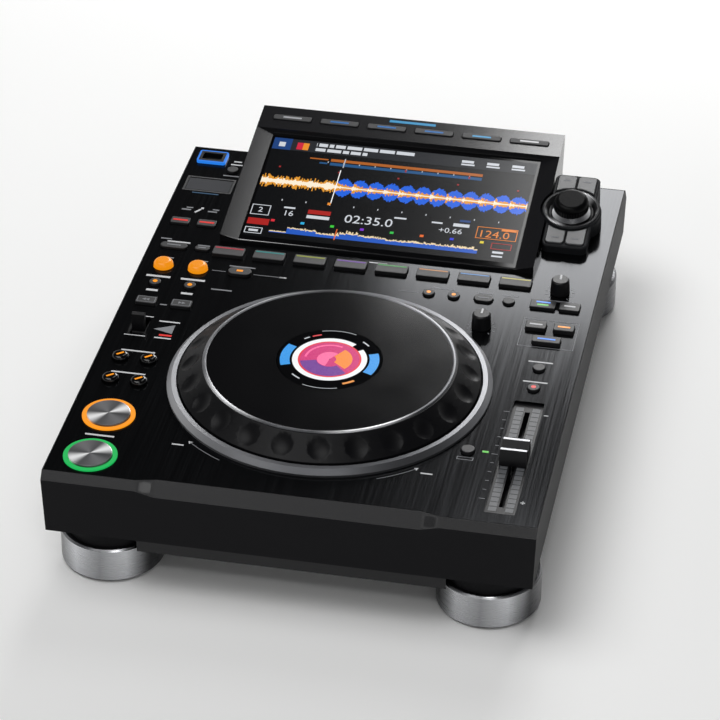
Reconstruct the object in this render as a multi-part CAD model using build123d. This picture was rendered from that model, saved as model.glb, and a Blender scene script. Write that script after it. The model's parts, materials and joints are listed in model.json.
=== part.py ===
from build123d import *
import math
import os
from typing import NamedTuple

# A DJ media player: a low case on four turned feet, a tilted display hood at the back, a jog wheel with a
# fixed display in its hub, a tempo fader, a rotary selector and rows of keys.
# Millimetres. X runs to the right, Y to the back and Z up. The origin is under the middle of the player, on
# the surface that it stands on.

# Heights
PAN_CLEARANCE = 25.0        # standing surface to the belly pan
PAN_DEPTH = 17.4            # belly pan
CASE_HEIGHT = 45.6          # lower edge of the case to the deck
HOOD_RISE = 30.0            # deck to the top of the display hood

# Plan, from the front face to the back
FRONT_STRIP = 30.5          # front face to the jog bezel
JOG_BEZEL_RADIUS = 111.0
KEY_STRIP = 50.6            # jog bezel to the display hood
HOOD_DEPTH = 142.9          # hood along the deck
HOOD_OVERHANG = 7.0         # hood's top edge behind the rear wall

# Plan, across
SIDE_STRIP = 53.5           # jog bezel to the side of the case
COLUMN_WIDTH = 49.5         # deck beside the hood

# Case and deck
CASE_WALL = 3.0
SIDE_DRAFT = 1.5            # how far each side leans in towards its lower edge
SIDE_CHAMFER = 5.1          # front edge, outer stretches
MIDDLE_CHAMFER = 8.4        # front edge, middle stretch
MIDDLE_CHAMFER_HALF = 88.0  # half the length of the middle stretch
CHAMFER_RUN_OUT = 13.0      # facet between the two chamfers
REAR_CHAMFER = 15.0         # rear edge beside the hood
PLATE_THICKNESS = 2.0
PLATE_RIM = 0.8             # case edge left showing around the deck plate
PLATE_SEAM = 0.3
SLOT_CORNER = 1.5           # corners of the deck plate's slots
LEDGE_WIDTH = 5.0           # ledge that carries the deck plate in front and behind
LEDGE_THICKNESS = 2.5
BASE_THICKNESS = 2.0
BASE_GAP = 0.2
BOSS_WIDTH = 10.0           # screw bosses inside the case walls
BOSS_HEIGHT = 26.0
BOSS_SPACING = 110.0

# Belly pan and feet
PAN_HALF_WIDTH = 105.0
PAN_SETBACK = 11.5          # pan behind the front face and before the rear wall
PAN_WALL = 1.5
PAN_HATCH_MARGIN = 14.0     # base plate left standing inside the pan's wall
FOOT_RADIUS = 35.0
FOOT_EDGE_X = 36.0          # foot centre from the side of the case
FOOT_EDGE_Y = 39.5          # foot centre from the front face and from the rear wall
FOOT_LIFT = 1.5             # turned shell above the standing surface
FOOT_SHELL_TOP = 27.0
FOOT_CHAMFER = 1.2
FOOT_NECK_RADIUS = 31.0
FOOT_GAP = 2.0              # pan wall around a foot
PAD_RADIUS = 29.0
PAD_THICKNESS = 4.5
PAD_GAP = 0.2
PAD_HOLE_RADIUS = 7.0
SCREW_RADIUS = 2.4
SCREW_GAP = 0.2
SCREW_HEAD_RADIUS = 4.4
SCREW_HEAD_HEIGHT = 3.0
SCREW_RECESS_RADIUS = 5.2

# Display hood
HOOD_WALL = 3.0
HOOD_LIP = 2.4              # front edge of the hood above the deck
BROW_DEPTH = 27.5           # raised brow behind the screen
BROW_DROP = 3.6             # fall of the brow towards the screen
BROW_STEP = 3.5             # brow above the glass
RAIL_WIDTH = 13.5           # bezel rail beside the glass
GLASS_THICKNESS = 2.2
GLASS_MARGIN = 1.5          # bezel in front of and behind the glass
GLASS_SEAM = 0.3
GLASS_LEDGE = 1.8           # thickness of the ledge under the glass
GLASS_LEDGE_WIDTH = 3.0
SCREEN_SIDE = 2.0           # glass beside the lit screen
SCREEN_END = 4.55           # glass in front of and behind the lit screen
LCD_BORDER = 2.0
LCD_THICKNESS = 5.0
LCD_ROOM = 2.0              # deck opening around the LCD module
MENU_MARGIN = 6.7           # hood's side to the first menu key's share of the brow
MENU_GAP = 7.0
MENU_KEY_DEPTH = 5.5
MENU_KEY_COUNT = 6
MENU_KEY_RISE = 1.0
HOOD_EDGE = 1.2             # broken rear edge of the hood's top
STATUS_LENGTH = 35.0        # status light in the brow's rear edge
STATUS_WIDTH = 2.6
STATUS_DEPTH = 2.0
STATUS_INSET = 4.0

# Keys
KEY_GAP = 0.45
KEY_LIP = 1.2               # flange that keeps a key under the deck
KEY_FLANGE = 1.0
KEY_PLAY = 0.3              # flange below the deck
KEY_TRAVEL = 0.8
KEY_CORNER = 1.2
KEY_EDGE = 0.5
SMALL_KEY = 8.4             # diameter of the small round keys
SMALL_RISE = 1.8
PLATE_RISE = 2.2            # flat keys
LOW_RISE = 1.6              # keys nearly level with the deck

# Left column: places across from the left side, rows from the front face or from the hood
PAIR_EDGE = 17.2
PAIR_PITCH = 25.4
BIG_EDGE = 27.2
PLAY_ROW = 26.2
CUE_ROW = 73.5
SEARCH_ROW = 115.0
TRACK_ROW = 142.0
SEARCH_PITCH = 20.0
SEARCH_DIAMETER = 11.5
SEARCH_RISE = 3.8
SEARCH_DOME = 2.4
LEVER_ROW = 183.3
LEVER_EDGE = 19.7
JUMP_ROW = 214.0
JUMP_WIDTH = 14.6
JUMP_DEPTH = 8.6
BEAT_ROW = 239.0
LOOP_BEFORE_HOOD = 39.9
TIME_BEFORE_HOOD = 14.2
TIME_EDGE = 18.6
TIME_WIDTH = 20.0
TIME_DEPTH = 7.0
DELETE_EDGE = 39.6
DELETE_WIDTH = 11.0
DELETE_DEPTH = 5.0
MODE_AFTER_HOOD = 20.2
MODE_EDGE = 24.9
MODE_PITCH = 19.8
MODE_WIDTH = 14.0
MODE_DEPTH = 8.0
RELOOP_EDGE = 73.5
RELOOP_WIDTH = 17.0
RELOOP_DEPTH = 9.0
LOOP_DIAMETER = 14.0
LOOP_RISE = 4.6
LOOP_DOME = 3.4

# Hot cue row and the row in front of it
HOT_CUE_COUNT = 8
HOT_CUE_WIDTH = 23.0
HOT_CUE_DEPTH = 10.5
HOT_CUE_RISE = 2.6
HOT_CUE_BEFORE_HOOD = 16.0
HOT_CUE_CLEARANCE = 3.1     # delete key to the first hot cue key
CALL_EDGE = 118.2           # call and memory keys, from the right side
MEMORY_PITCH = 18.0
MEMORY_GROUP_GAP = 3.4
DELETE_OVAL = 13.8

# Play and cue
DISC_RADIUS = 14.7
GUIDE_WALL = 1.5
GUIDE_FLANGE_RADIUS = 18.0
GUIDE_FLANGE = 1.2
GUIDE_DROP = 0.5            # light ring's tube below the deck
DISC_RISE = 2.4
DISC_LIP = 1.6

# Right column: places across from the right side
RIGHT_EDGE = 27.1
MASTER_TEMPO_ROW = 160.3
TEMPO_RANGE_ROW = 184.8
SYNC_ROW = 217.9
SYNC_PITCH = 17.2
SYNC_SPREAD = 19.7
SYNC_WIDTH = 14.4
SYNC_DEPTH = 9.0
SYNC_WIDE = 19.8
SYNC_WIDE_DEPTH = 8.0
SYNC_RISE = 3.0
JOG_MODE_GAP = 2.7
JOG_MODE_WIDE = 18.0
JOG_MODE_NARROW = 14.5
JOG_MODE_DEPTH = 10.0
JOG_MODE_EDGE = 25.9        # gap between the two jog mode keys, from the right side
VINYL_BEFORE_HOOD = 20.6
KNOB_RADIUS = 7.0
KNOB_HEIGHT = 11.0
KNOB_LIFT = 0.6
KNOB_TAPER = 0.6
KNOB_EDGE = 1.0
KNOB_SHAFT_RADIUS = 3.0
KNOB_SHAFT_GAP = 0.5
POT_RADIUS = 6.5
POT_HEIGHT = 6.0
POT_FIT = 0.1
POT_MARGIN = 1.0            # end of the knob's shaft inside its pot
JOG_ADJUST_EDGE = 74.5
JOG_ADJUST_BEFORE_HOOD = 74.6

# Tempo fader
FADER_ROW = 80.3
FADER_WIDTH = 20.5
FADER_TRAVEL = 100.0
FADER_END = 4.2             # recess left beyond the cap at the ends of its travel
CAP_LENGTH = 20.0
CAP_SIDE_GAP = 1.2
CAP_RISE = 9.5
CAP_LIFT = 0.6
CAP_RIDGE = 2.0             # flat top of each grip ridge
CAP_RIDGE_INSET = 3.0       # ridge from the end of the cap
CAP_GROOVE = 2.4            # floor of the groove between the ridges
CAP_GROOVE_DEPTH = 3.4
BED_LIP = 4.0
BED_THICKNESS = 2.0
BED_DEPTH = 9.0
STEM_WIDTH = 2.4
STEM_LENGTH = 8.0
STEM_GAP = 0.6
STEM_DEPTH = 8.0
RESET_EDGE = 58.5           # tempo reset key, from the right side
RESET_DIAMETER = 9.0

# Direction lever
LEVER_SLOT_WIDTH = 13.0
LEVER_SLOT_LENGTH = 21.0
LEVER_WIDTH = 9.0
LEVER_THICKNESS = 5.0
LEVER_RISE = 11.0
LEVER_SHOULDER = 2.0        # where the paddle begins to taper, above the deck
LEVER_TIP = 1.0             # rounded end of the paddle
LEVER_TAPER = 0.75          # how much each face leans in
LEVER_PIVOT_DEPTH = 6.0
LEVER_HUB_RADIUS = 3.6
LEVER_PIN_RADIUS = 1.5
LEVER_PIN_LENGTH = 3.2
LEVER_SIDE_GAP = 0.5
EAR_WIDTH = 5.0
BRACKET_MARGIN = 1.0        # bracket beyond the slot and below the lever's hub
BRACKET_FLOOR = 2.0
PIN_FIT = 0.12
PIN_END = 0.3               # pin's end to the bottom of its hole

# Jog wheel
BEZEL_WIDTH = 6.5
BEZEL_HEIGHT = 5.0
BEZEL_CREST = 3.2
JOG_GAP = 1.5               # running gap inside the bezel
JOG_RISE = 18.5             # platter above the deck
JOG_LIFT = 1.5              # underside of the jog ring above the deck
RING_EDGE = 4.5             # upright outer edge of the jog ring
RING_WIDTH = 16.5
RING_FOOT = 5.0
RING_WALL = 5.0
RING_CREST = 0.6            # flat top of the jog ring
DIMPLE_COUNT = 24
DIMPLE_DIAMETER = 16.5
DIMPLE_DEPTH = 1.8
TRIM_WIDTH = 2.8
TRIM_RISE = 0.5
TRIM_SEAM = 0.15
TRIM_EDGE = 0.8
PLATTER_THICKNESS = 3.0
PLATTER_LEDGE = 7.5
PLATTER_LEDGE_THICKNESS = 2.5
WINDOW_RADIUS = 35.6
WINDOW_THICKNESS = 3.5
WINDOW_GAP = 0.6
MODULE_THICKNESS = 10.0
POST_RADIUS = 16.0
POST_GAP = 0.6
HUB_WALL = 7.4
CARRIER_THICKNESS = 2.2
CARRIER_SETBACK = 0.5
BEARING_FIT = 0.15
BEARING_WALL = 7.0
HUB_END_GAP = 0.5
JOG_PAN_DEPTH = 16.2        # jog base's floor below the deck plate
JOG_PAN_WALL = 2.5
JOG_FLANGE_WIDTH = 5.0
DECK_JOG_GAP = 1.0

# Selector
POD_GAP = 0.5
POD_WIDTH = 33.0
POD_LENGTH = 78.0
POD_AFTER_HOOD = 29.4       # pod's front behind the hood's front
POD_FRONT_RISE = 6.6
POD_REAR_RISE = 21.5
POD_WALL = 3.0              # top of the pod
POD_SIDE = 1.5              # sides of the pod
POD_CORNER = 5.0
POD_EDGE = 0.8              # broken top edge of the pod
POD_REACH = 40.0            # walls drawn down past the deck before they are cut off there
DISH_RADIUS = 22.0
DISH_RISE = 2.2
DISH_RIM = 3.0
DISH_FLOOR = 1.0
SELECTOR_RADIUS = 12.6
SELECTOR_HEIGHT = 11.5
SELECTOR_TRAVEL = 0.8
SELECTOR_PLAY = 0.6         # knob above its dish when it is pressed in
SELECTOR_SHAFT_RADIUS = 3.5
SELECTOR_SHAFT_FIT = 0.15
SELECTOR_CAP = 3.0          # knob above the end of its shaft
BUSH_WALL = 3.5
BUSH_DEPTH = 6.0
SHAFT_TAIL = 3.0
POD_KEY_GAP = 1.2
POD_KEY_MARGIN = 2.4
POD_KEY_LIP = 0.5
POD_KEY_CORNER = 2.6
POD_KEY_RISE = 1.4

# USB port and SD door
USB_FROM_REAR = 15.5
USB_EDGE = 17.3
USB_WELL_WIDTH = 15.0
USB_WELL_DEPTH = 9.0
USB_FRAME_WIDTH = 3.5
USB_FRAME_RISE = 2.2
USB_FRAME_CORNER = 2.0
USB_SHELL_WIDTH = 13.2
USB_SHELL_DEPTH = 5.8
USB_SHELL_WALL = 0.5
USB_SHELL_LENGTH = 14.0
USB_TONGUE = 1.8
USB_TONGUE_SIDE = 1.0
USB_PLATE = 1.5
USB_PLATE_BORDER = 1.5      # socket plate beyond the frame that stands on it
USB_STOP_EDGE = 36.1
USB_STOP_FROM_REAR = 30.0
SD_FROM_REAR = 52.8
SD_EDGE = 23.4
SD_WIDTH = 33.0
SD_DEPTH = 16.6
SD_THICKNESS = 2.4
SD_FRAME = 1.6
SD_FRAME_DEPTH = 5.0
SD_GAP = 0.4
SD_PIN_RADIUS = 0.7
SD_PIN_LENGTH = 1.6

# Rear panel and sockets
WINDOW_HALF = 135.0
WINDOW_BOTTOM = 5.2         # window above the lower edge of the case
WINDOW_HEIGHT = 22.0
PANEL_LIP = 2.0
PANEL_THICKNESS = 2.0
SOCKET_GAP = 0.2
SOCKET_PROUD = 1.0
INLET_X = 100.0
INLET_WIDTH = 27.0
INLET_HEIGHT = 19.5
INLET_WALL = 2.2
INLET_DEPTH = 20.0
INLET_PIN_RECESS = 5.5
INLET_PIN_WIDTH = 2.0
INLET_PIN_HEIGHT = 4.0
INLET_PIN_PITCH = 7.0
SWITCH_X = 66.0
SWITCH_WIDTH = 23.0
SWITCH_HEIGHT = 17.0
SWITCH_DEPTH = 14.0
SWITCH_FLOOR = 3.0
ROCKER_WIDTH = 16.0
ROCKER_HEIGHT = 11.2
ROCKER_DEPTH = 6.0
ROCKER_TILT = 8.0
ROCKER_PROUD = 1.4
ROCKER_DISH = 0.8
ROCKER_SIDE_GAP = 0.5
ROCKER_END_GAP = 0.7
ROCKER_PIN_RADIUS = 1.2
ROCKER_PIN_LENGTH = 1.8
LAN_X = -20.0
LAN_WIDTH = 16.0
LAN_HEIGHT = 13.5
LAN_DEPTH = 18.0
LAN_WALL = 1.6
LAN_CAVITY = 11.0
USB_B_X = 10.0
USB_B_WIDTH = 12.0
USB_B_HEIGHT = 11.0
AUDIO_X = -110.0
AUDIO_PITCH = 22.0
AUDIO_COUNT = 3
AUDIO_RADIUS = 4.2
AUDIO_NUT_RADIUS = 6.5
AUDIO_NUT_HEIGHT = 1.6
AUDIO_LENGTH = 7.5
AUDIO_TAIL = 10.0

# Boards and power supply
BOARD_THICKNESS = 1.6
BOARD_EDGE = 5.5            # switch boards from the side of the case
BOARD_WIDTH = 41.5
BOARD_MARGIN = 8.0          # board beyond the last row of keys
BOARD_TRIM = 1.0            # middle board beyond its switches and keys
HOT_CUE_STANDOFFS = (1.5, 3.5, 5.5)  # standoffs between the hot cue keys, in key pitches
SWITCH_SIZE = 6.0
SWITCH_BODY = 3.6
SWITCH_CLEARANCE = 0.3      # pressed key above its switch
STANDOFF_RADIUS = 2.0
MAIN_BOARD_LIFT = 4.0
MAIN_BOARD_WIDTH = 110.0
MAIN_BOARD_LENGTH = 240.0
MAIN_BOARD_X = -30.0
CHIP_SIZE = 26.0
CHIP_HEIGHT = 6.0
SUPPLY_X = 60.0
SUPPLY_Y = 70.0
SUPPLY_WIDTH = 52.0
SUPPLY_LENGTH = 110.0
SUPPLY_HEIGHT = 26.0

# Frame of reference worked out from the sizes above
case_bottom = PAN_CLEARANCE + PAN_DEPTH
deck = case_bottom + CASE_HEIGHT
top = deck + HOOD_RISE
plate_under = deck - PLATE_THICKNESS
width = 2 * (JOG_BEZEL_RADIUS + SIDE_STRIP)
depth = FRONT_STRIP + 2 * JOG_BEZEL_RADIUS + KEY_STRIP + HOOD_DEPTH + HOOD_OVERHANG
right = width / 2
left = -right
front = -depth / 2
jog_y = front + FRONT_STRIP + JOG_BEZEL_RADIUS
hood_front = jog_y + JOG_BEZEL_RADIUS + KEY_STRIP
rear = hood_front + HOOD_DEPTH
hood_rear = rear + HOOD_OVERHANG
hood_half = right - COLUMN_WIDTH
deck_rear = rear - REAR_CHAMFER
floor_half = right - SIDE_DRAFT - CASE_WALL


def block(x0, x1, y0, y1, z0, z1):
    """A box given by its faces."""
    return Pos((x0 + x1) / 2, (y0 + y1) / 2, (z0 + z1) / 2) * Box(x1 - x0, y1 - y0, z1 - z0)


def slab(outline, z0, z1):
    """An outline raised from one height to another."""
    return extrude(Pos(0, 0, z0) * outline, amount=z1 - z0, dir=(0, 0, 1))


def post(x, y, radius, z0, z1):
    """An upright cylinder."""
    return Pos(x, y, (z0 + z1) / 2) * Cylinder(radius, z1 - z0)


def tube(x, y, outer, inner, z0, z1):
    """An upright tube."""
    return post(x, y, outer, z0, z1) - post(x, y, inner, z0, z1)


def across(x, y, z, radius, length):
    """A cylinder lying along X, centred on a point."""
    return Pos(x, y, z) * Rot(0, 90, 0) * Cylinder(radius, length)


def profile(points, x0, x1):
    """A side profile of (y, z) points drawn out along X."""
    face = Plane.YZ.offset(x0) * Polygon(*points, align=None)
    return extrude(face, amount=x1 - x0, dir=(1, 0, 0))


def turned(points, x, y, z):
    """A (radius, height) profile turned about an upright axis."""
    return Pos(x, y, z) * revolve(Plane.XZ * Polygon(*points, align=None), Axis.Z)


def top_face_edges(solid):
    """The edges of a solid's highest face."""
    return solid.faces().sort_by(Axis.Z)[-1].edges()


class Key(NamedTuple):
    """A push key: its cap's form, its place on the deck and how far it stands above it."""
    form: str
    x: float
    y: float
    wide: float
    deep: float
    rise: float


def key_outline(key, grow=0.0):
    """The plan of a key's cap, grown for its hole or its flange."""
    wide = key.wide + 2 * grow
    deep = key.deep + 2 * grow
    if key.form == "round":
        return Circle(wide / 2)
    if key.form == "oval":
        return SlotOverall(wide, deep)
    return RectangleRounded(wide, deep, KEY_CORNER + max(grow, 0.0))


def key_solid(key, wall, edge):
    """A cap with a flange below the wall that it stands in, drawn about the wall's upper face."""
    flange_top = -wall - KEY_PLAY
    cap = slab(key_outline(key), flange_top, key.rise)
    cap = fillet(top_face_edges(cap), edge)
    return cap + slab(key_outline(key, KEY_LIP), flange_top - KEY_FLANGE, flange_top)


def key_hole(key, wall):
    """The hole that a key's cap moves in, through a wall below its upper face."""
    return slab(key_outline(key, KEY_GAP), -2 * wall, wall)


def deck_key(key, edge=KEY_EDGE):
    """A key in its place on the deck."""
    return Pos(key.x, key.y, deck) * key_solid(key, PLATE_THICKNESS, edge)


def deck_key_hole(key):
    """A key's hole in the deck plate."""
    return Pos(key.x, key.y, deck) * key_hole(key, PLATE_THICKNESS)


# Rows and columns of keys on the deck
pair_x = [left + PAIR_EDGE, left + PAIR_EDGE + PAIR_PITCH]
big_x = left + BIG_EDGE
search_x = [big_x - SEARCH_PITCH / 2, big_x + SEARCH_PITCH / 2]
mode_x = [left + MODE_EDGE - MODE_PITCH / 2, left + MODE_EDGE + MODE_PITCH / 2]
loop_y = hood_front - LOOP_BEFORE_HOOD
right_x = right - RIGHT_EDGE
hot_cue_x0 = left + DELETE_EDGE + DELETE_WIDTH / 2 + HOT_CUE_CLEARANCE + HOT_CUE_WIDTH / 2
hot_cue_pitch = -2 * hot_cue_x0 / (HOT_CUE_COUNT - 1)
hot_cue_y = hood_front - HOT_CUE_BEFORE_HOOD
call_x = right - CALL_EDGE
memory_delete_x = call_x + 2 * MEMORY_PITCH + MEMORY_GROUP_GAP
jog_mode_x = right - JOG_MODE_EDGE
sync_y = front + SYNC_ROW
fader_y = front + FADER_ROW

KEYS = {
    "loop_in_button": [Key("round", pair_x[0], loop_y, LOOP_DIAMETER, LOOP_DIAMETER, LOOP_RISE)],
    "loop_out_button": [Key("round", pair_x[1], loop_y, LOOP_DIAMETER, LOOP_DIAMETER, LOOP_RISE)],
    "reloop_key": [Key("oval", left + RELOOP_EDGE, loop_y, RELOOP_WIDTH, RELOOP_DEPTH, PLATE_RISE)],
    "beat_loop_keys": [Key("round", x, front + BEAT_ROW, SMALL_KEY, SMALL_KEY, SMALL_RISE) for x in pair_x],
    "beat_jump_keys": [Key("plate", x, front + JUMP_ROW, JUMP_WIDTH, JUMP_DEPTH, PLATE_RISE) for x in pair_x],
    "quantize_slip_keys": [
        Key("plate", x, hood_front + MODE_AFTER_HOOD, MODE_WIDTH, MODE_DEPTH, LOW_RISE) for x in mode_x
    ],
    "time_keys": [
        Key("oval", left + TIME_EDGE, hood_front - TIME_BEFORE_HOOD, TIME_WIDTH, TIME_DEPTH, LOW_RISE),
        Key("oval", left + DELETE_EDGE, hood_front - TIME_BEFORE_HOOD, DELETE_WIDTH, DELETE_DEPTH, LOW_RISE),
    ],
    "search_keys": [
        Key("round", x, front + row, SEARCH_DIAMETER, SEARCH_DIAMETER, SEARCH_RISE)
        for row in (SEARCH_ROW, TRACK_ROW)
        for x in search_x
    ],
    "cue_memory_keys": [
        Key("round", call_x, loop_y, SMALL_KEY, SMALL_KEY, SMALL_RISE),
        Key("round", call_x + MEMORY_PITCH, loop_y, SMALL_KEY, SMALL_KEY, SMALL_RISE),
        Key("oval", memory_delete_x, loop_y, DELETE_OVAL, SMALL_KEY, SMALL_RISE),
        Key("round", memory_delete_x + MEMORY_PITCH, loop_y, SMALL_KEY, SMALL_KEY, SMALL_RISE),
    ],
    "jog_mode_keys": [
        Key("plate", jog_mode_x + side * (JOG_MODE_GAP + wide) / 2, loop_y, wide, JOG_MODE_DEPTH, PLATE_RISE)
        for side, wide in ((-1, JOG_MODE_WIDE), (1, JOG_MODE_NARROW))
    ],
    "sync_keys": [
        Key("plate", right_x - SYNC_SPREAD / 2, sync_y + SYNC_PITCH, SYNC_WIDTH, SYNC_DEPTH, SYNC_RISE),
        Key("plate", right_x + SYNC_SPREAD / 2, sync_y + SYNC_PITCH, SYNC_WIDTH, SYNC_DEPTH, SYNC_RISE),
        Key("plate", right_x, sync_y, SYNC_WIDE, SYNC_WIDE_DEPTH, SYNC_RISE),
    ],
    "tempo_keys": [
        Key("round", right_x, front + row, SMALL_KEY, SMALL_KEY, SMALL_RISE)
        for row in (TEMPO_RANGE_ROW, MASTER_TEMPO_ROW)
    ],
    "tempo_reset_key": [Key("round", right - RESET_EDGE, fader_y, RESET_DIAMETER, RESET_DIAMETER, PLATE_RISE)],
    "usb_stop_key": [
        Key("round", left + USB_STOP_EDGE, deck_rear - USB_STOP_FROM_REAR, SMALL_KEY, SMALL_KEY, SMALL_RISE)
    ],
}
for place in range(HOT_CUE_COUNT):
    hot_cue_x = hot_cue_x0 + place * hot_cue_pitch
    hot_cue = Key("plate", hot_cue_x, hot_cue_y, HOT_CUE_WIDTH, HOT_CUE_DEPTH, HOT_CUE_RISE)
    KEYS[f"hot_cue_key_{place + 1}"] = [hot_cue]
DOMED = {"loop_in_button": LOOP_DOME, "loop_out_button": LOOP_DOME, "search_keys": SEARCH_DOME}

# Places of the other controls
big_buttons = {"play_button": front + PLAY_ROW, "cue_button": front + CUE_ROW}
disc_hole = DISC_RADIUS + KEY_GAP
guide_radius = disc_hole + GUIDE_WALL
knobs = {
    "vinyl_speed_knob": (right_x, hood_front - VINYL_BEFORE_HOOD),
    "jog_adjust_knob": (right - JOG_ADJUST_EDGE, hood_front - JOG_ADJUST_BEFORE_HOOD),
}
fader_half = (FADER_TRAVEL + CAP_LENGTH) / 2 + FADER_END
lever_x = left + LEVER_EDGE
lever_y = front + LEVER_ROW
lever_pivot = deck - LEVER_PIVOT_DEPTH
usb_x = left + USB_EDGE
usb_y = deck_rear - USB_FROM_REAR
sd_x = left + SD_EDGE
sd_y = deck_rear - SD_FROM_REAR
sd_hinge_y = sd_y + (SD_DEPTH - SD_THICKNESS) / 2
sd_hinge_z = deck - SD_THICKNESS / 2
foot_places = [
    (side * (right - FOOT_EDGE_X), y)
    for side in (-1, 1)
    for y in (front + FOOT_EDGE_Y, rear - FOOT_EDGE_Y)
]
boss_places = [
    (side * (floor_half - BOSS_WIDTH / 2), y)
    for side in (-1, 1)
    for y in (-BOSS_SPACING, 0.0, BOSS_SPACING)
]

# Jog radii and heights
jog_radius = JOG_BEZEL_RADIUS - BEZEL_WIDTH - JOG_GAP
trim_radius = jog_radius - RING_WIDTH
platter_radius = trim_radius - TRIM_WIDTH
deck_jog_radius = jog_radius + DECK_JOG_GAP
ring_base = deck + JOG_LIFT
platter_top = deck + JOG_RISE
platter_seat = platter_top - PLATTER_THICKNESS
hub_radius = POST_RADIUS + POST_GAP + HUB_WALL
jog_floor = plate_under - JOG_PAN_DEPTH

# Selector pod
pod_x = hood_half + POD_GAP + POD_WIDTH / 2
pod_y = hood_front + POD_AFTER_HOOD + POD_LENGTH / 2
selector_base = SELECTOR_TRAVEL + SELECTOR_PLAY - DISH_FLOOR
pod_tilt = math.degrees(math.atan2(POD_REAR_RISE - POD_FRONT_RISE, POD_LENGTH))
pod_plane = Plane(Location((pod_x, pod_y, deck + (POD_FRONT_RISE + POD_REAR_RISE) / 2), (pod_tilt, 0, 0)))

# Display hood
brow_front = hood_rear - BROW_DEPTH
brow_edge = top - BROW_DROP
slope_low = deck + HOOD_LIP
slope_high = brow_edge - BROW_STEP
slope_run = brow_front - hood_front
screen_tilt = math.degrees(math.atan2(slope_high - slope_low, slope_run))
slope_length = math.hypot(slope_high - slope_low, slope_run)
screen_plane = Plane(
    Location((0, (hood_front + brow_front) / 2, (slope_low + slope_high) / 2), (screen_tilt, 0, 0))
)
brow_run = BROW_DEPTH - HOOD_EDGE
brow_tilt = math.degrees(math.atan2(BROW_DROP, brow_run))
brow_length = math.hypot(BROW_DROP, brow_run)
brow_plane = Plane(Location((0, brow_front + brow_run / 2, (brow_edge + top) / 2), (brow_tilt, 0, 0)))
glass_width = 2 * (hood_half - RAIL_WIDTH)
glass_length = slope_length - 2 * GLASS_MARGIN
screen_width = glass_width - 2 * SCREEN_SIDE
screen_length = glass_length - 2 * SCREEN_END
screen_wall = GLASS_THICKNESS + GLASS_LEDGE
menu_pitch = 2 * (hood_half - MENU_MARGIN) / MENU_KEY_COUNT
menu_x = [(i - (MENU_KEY_COUNT - 1) / 2) * menu_pitch for i in range(MENU_KEY_COUNT)]
menu_keys = [Key("plate", x, 0.0, menu_pitch - MENU_GAP, MENU_KEY_DEPTH, MENU_KEY_RISE) for x in menu_x]


def corner_cut(x, leg):
    """The triangle that a chamfer of this leg takes off the front top edge at one place across."""
    face = Polygon(
        (front - 1, deck - leg - 1),
        (front + leg + 1, deck + 1),
        (front - 1, deck + 1),
        align=None,
    )
    return Plane.YZ.offset(x) * face


def front_edge_cut():
    """The front chamfer, deeper along the middle and running out through a facet at each end."""
    outer = MIDDLE_CHAMFER_HALF + CHAMFER_RUN_OUT
    stretches = [
        (left - 1, SIDE_CHAMFER),
        (-outer, SIDE_CHAMFER),
        (-MIDDLE_CHAMFER_HALF, MIDDLE_CHAMFER),
        (MIDDLE_CHAMFER_HALF, MIDDLE_CHAMFER),
        (outer, SIDE_CHAMFER),
        (right + 1, SIDE_CHAMFER),
    ]
    cut = Part()
    for (x0, leg0), (x1, leg1) in zip(stretches, stretches[1:]):
        cut += loft([corner_cut(x0, leg0), corner_cut(x1, leg1)], ruled=True)
    return cut


def plate_outline(grow=0.0):
    """The deck plate's plan: it follows the stepped front chamfer."""
    half = right - PLATE_RIM + grow
    side_y = front + SIDE_CHAMFER + PLATE_RIM - grow
    middle_y = front + MIDDLE_CHAMFER + PLATE_RIM - grow
    outer = MIDDLE_CHAMFER_HALF + CHAMFER_RUN_OUT
    rear_y = deck_rear - PLATE_RIM + grow
    return Polygon(
        (-half, side_y), (-outer, side_y), (-MIDDLE_CHAMFER_HALF, middle_y),
        (MIDDLE_CHAMFER_HALF, middle_y), (outer, side_y), (half, side_y),
        (half, rear_y), (-half, rear_y),
        align=None,
    )


def case_cavity():
    """The inside of the case: its upper corners run parallel to the chamfers, a wall away."""
    ceiling = plate_under - LEDGE_THICKNESS
    slant = CASE_WALL * (math.sqrt(2) - 1)
    rise = ceiling - deck + CASE_WALL * math.sqrt(2)
    points = [
        (front + CASE_WALL, case_bottom - 1),
        (front + CASE_WALL, deck - MIDDLE_CHAMFER - slant),
        (front + rise + MIDDLE_CHAMFER, ceiling),
        (rear - rise - REAR_CHAMFER, ceiling),
        (rear - CASE_WALL, deck - REAR_CHAMFER - slant),
        (rear - CASE_WALL, case_bottom - 1),
    ]
    return profile(points, -floor_half, floor_half)


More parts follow.
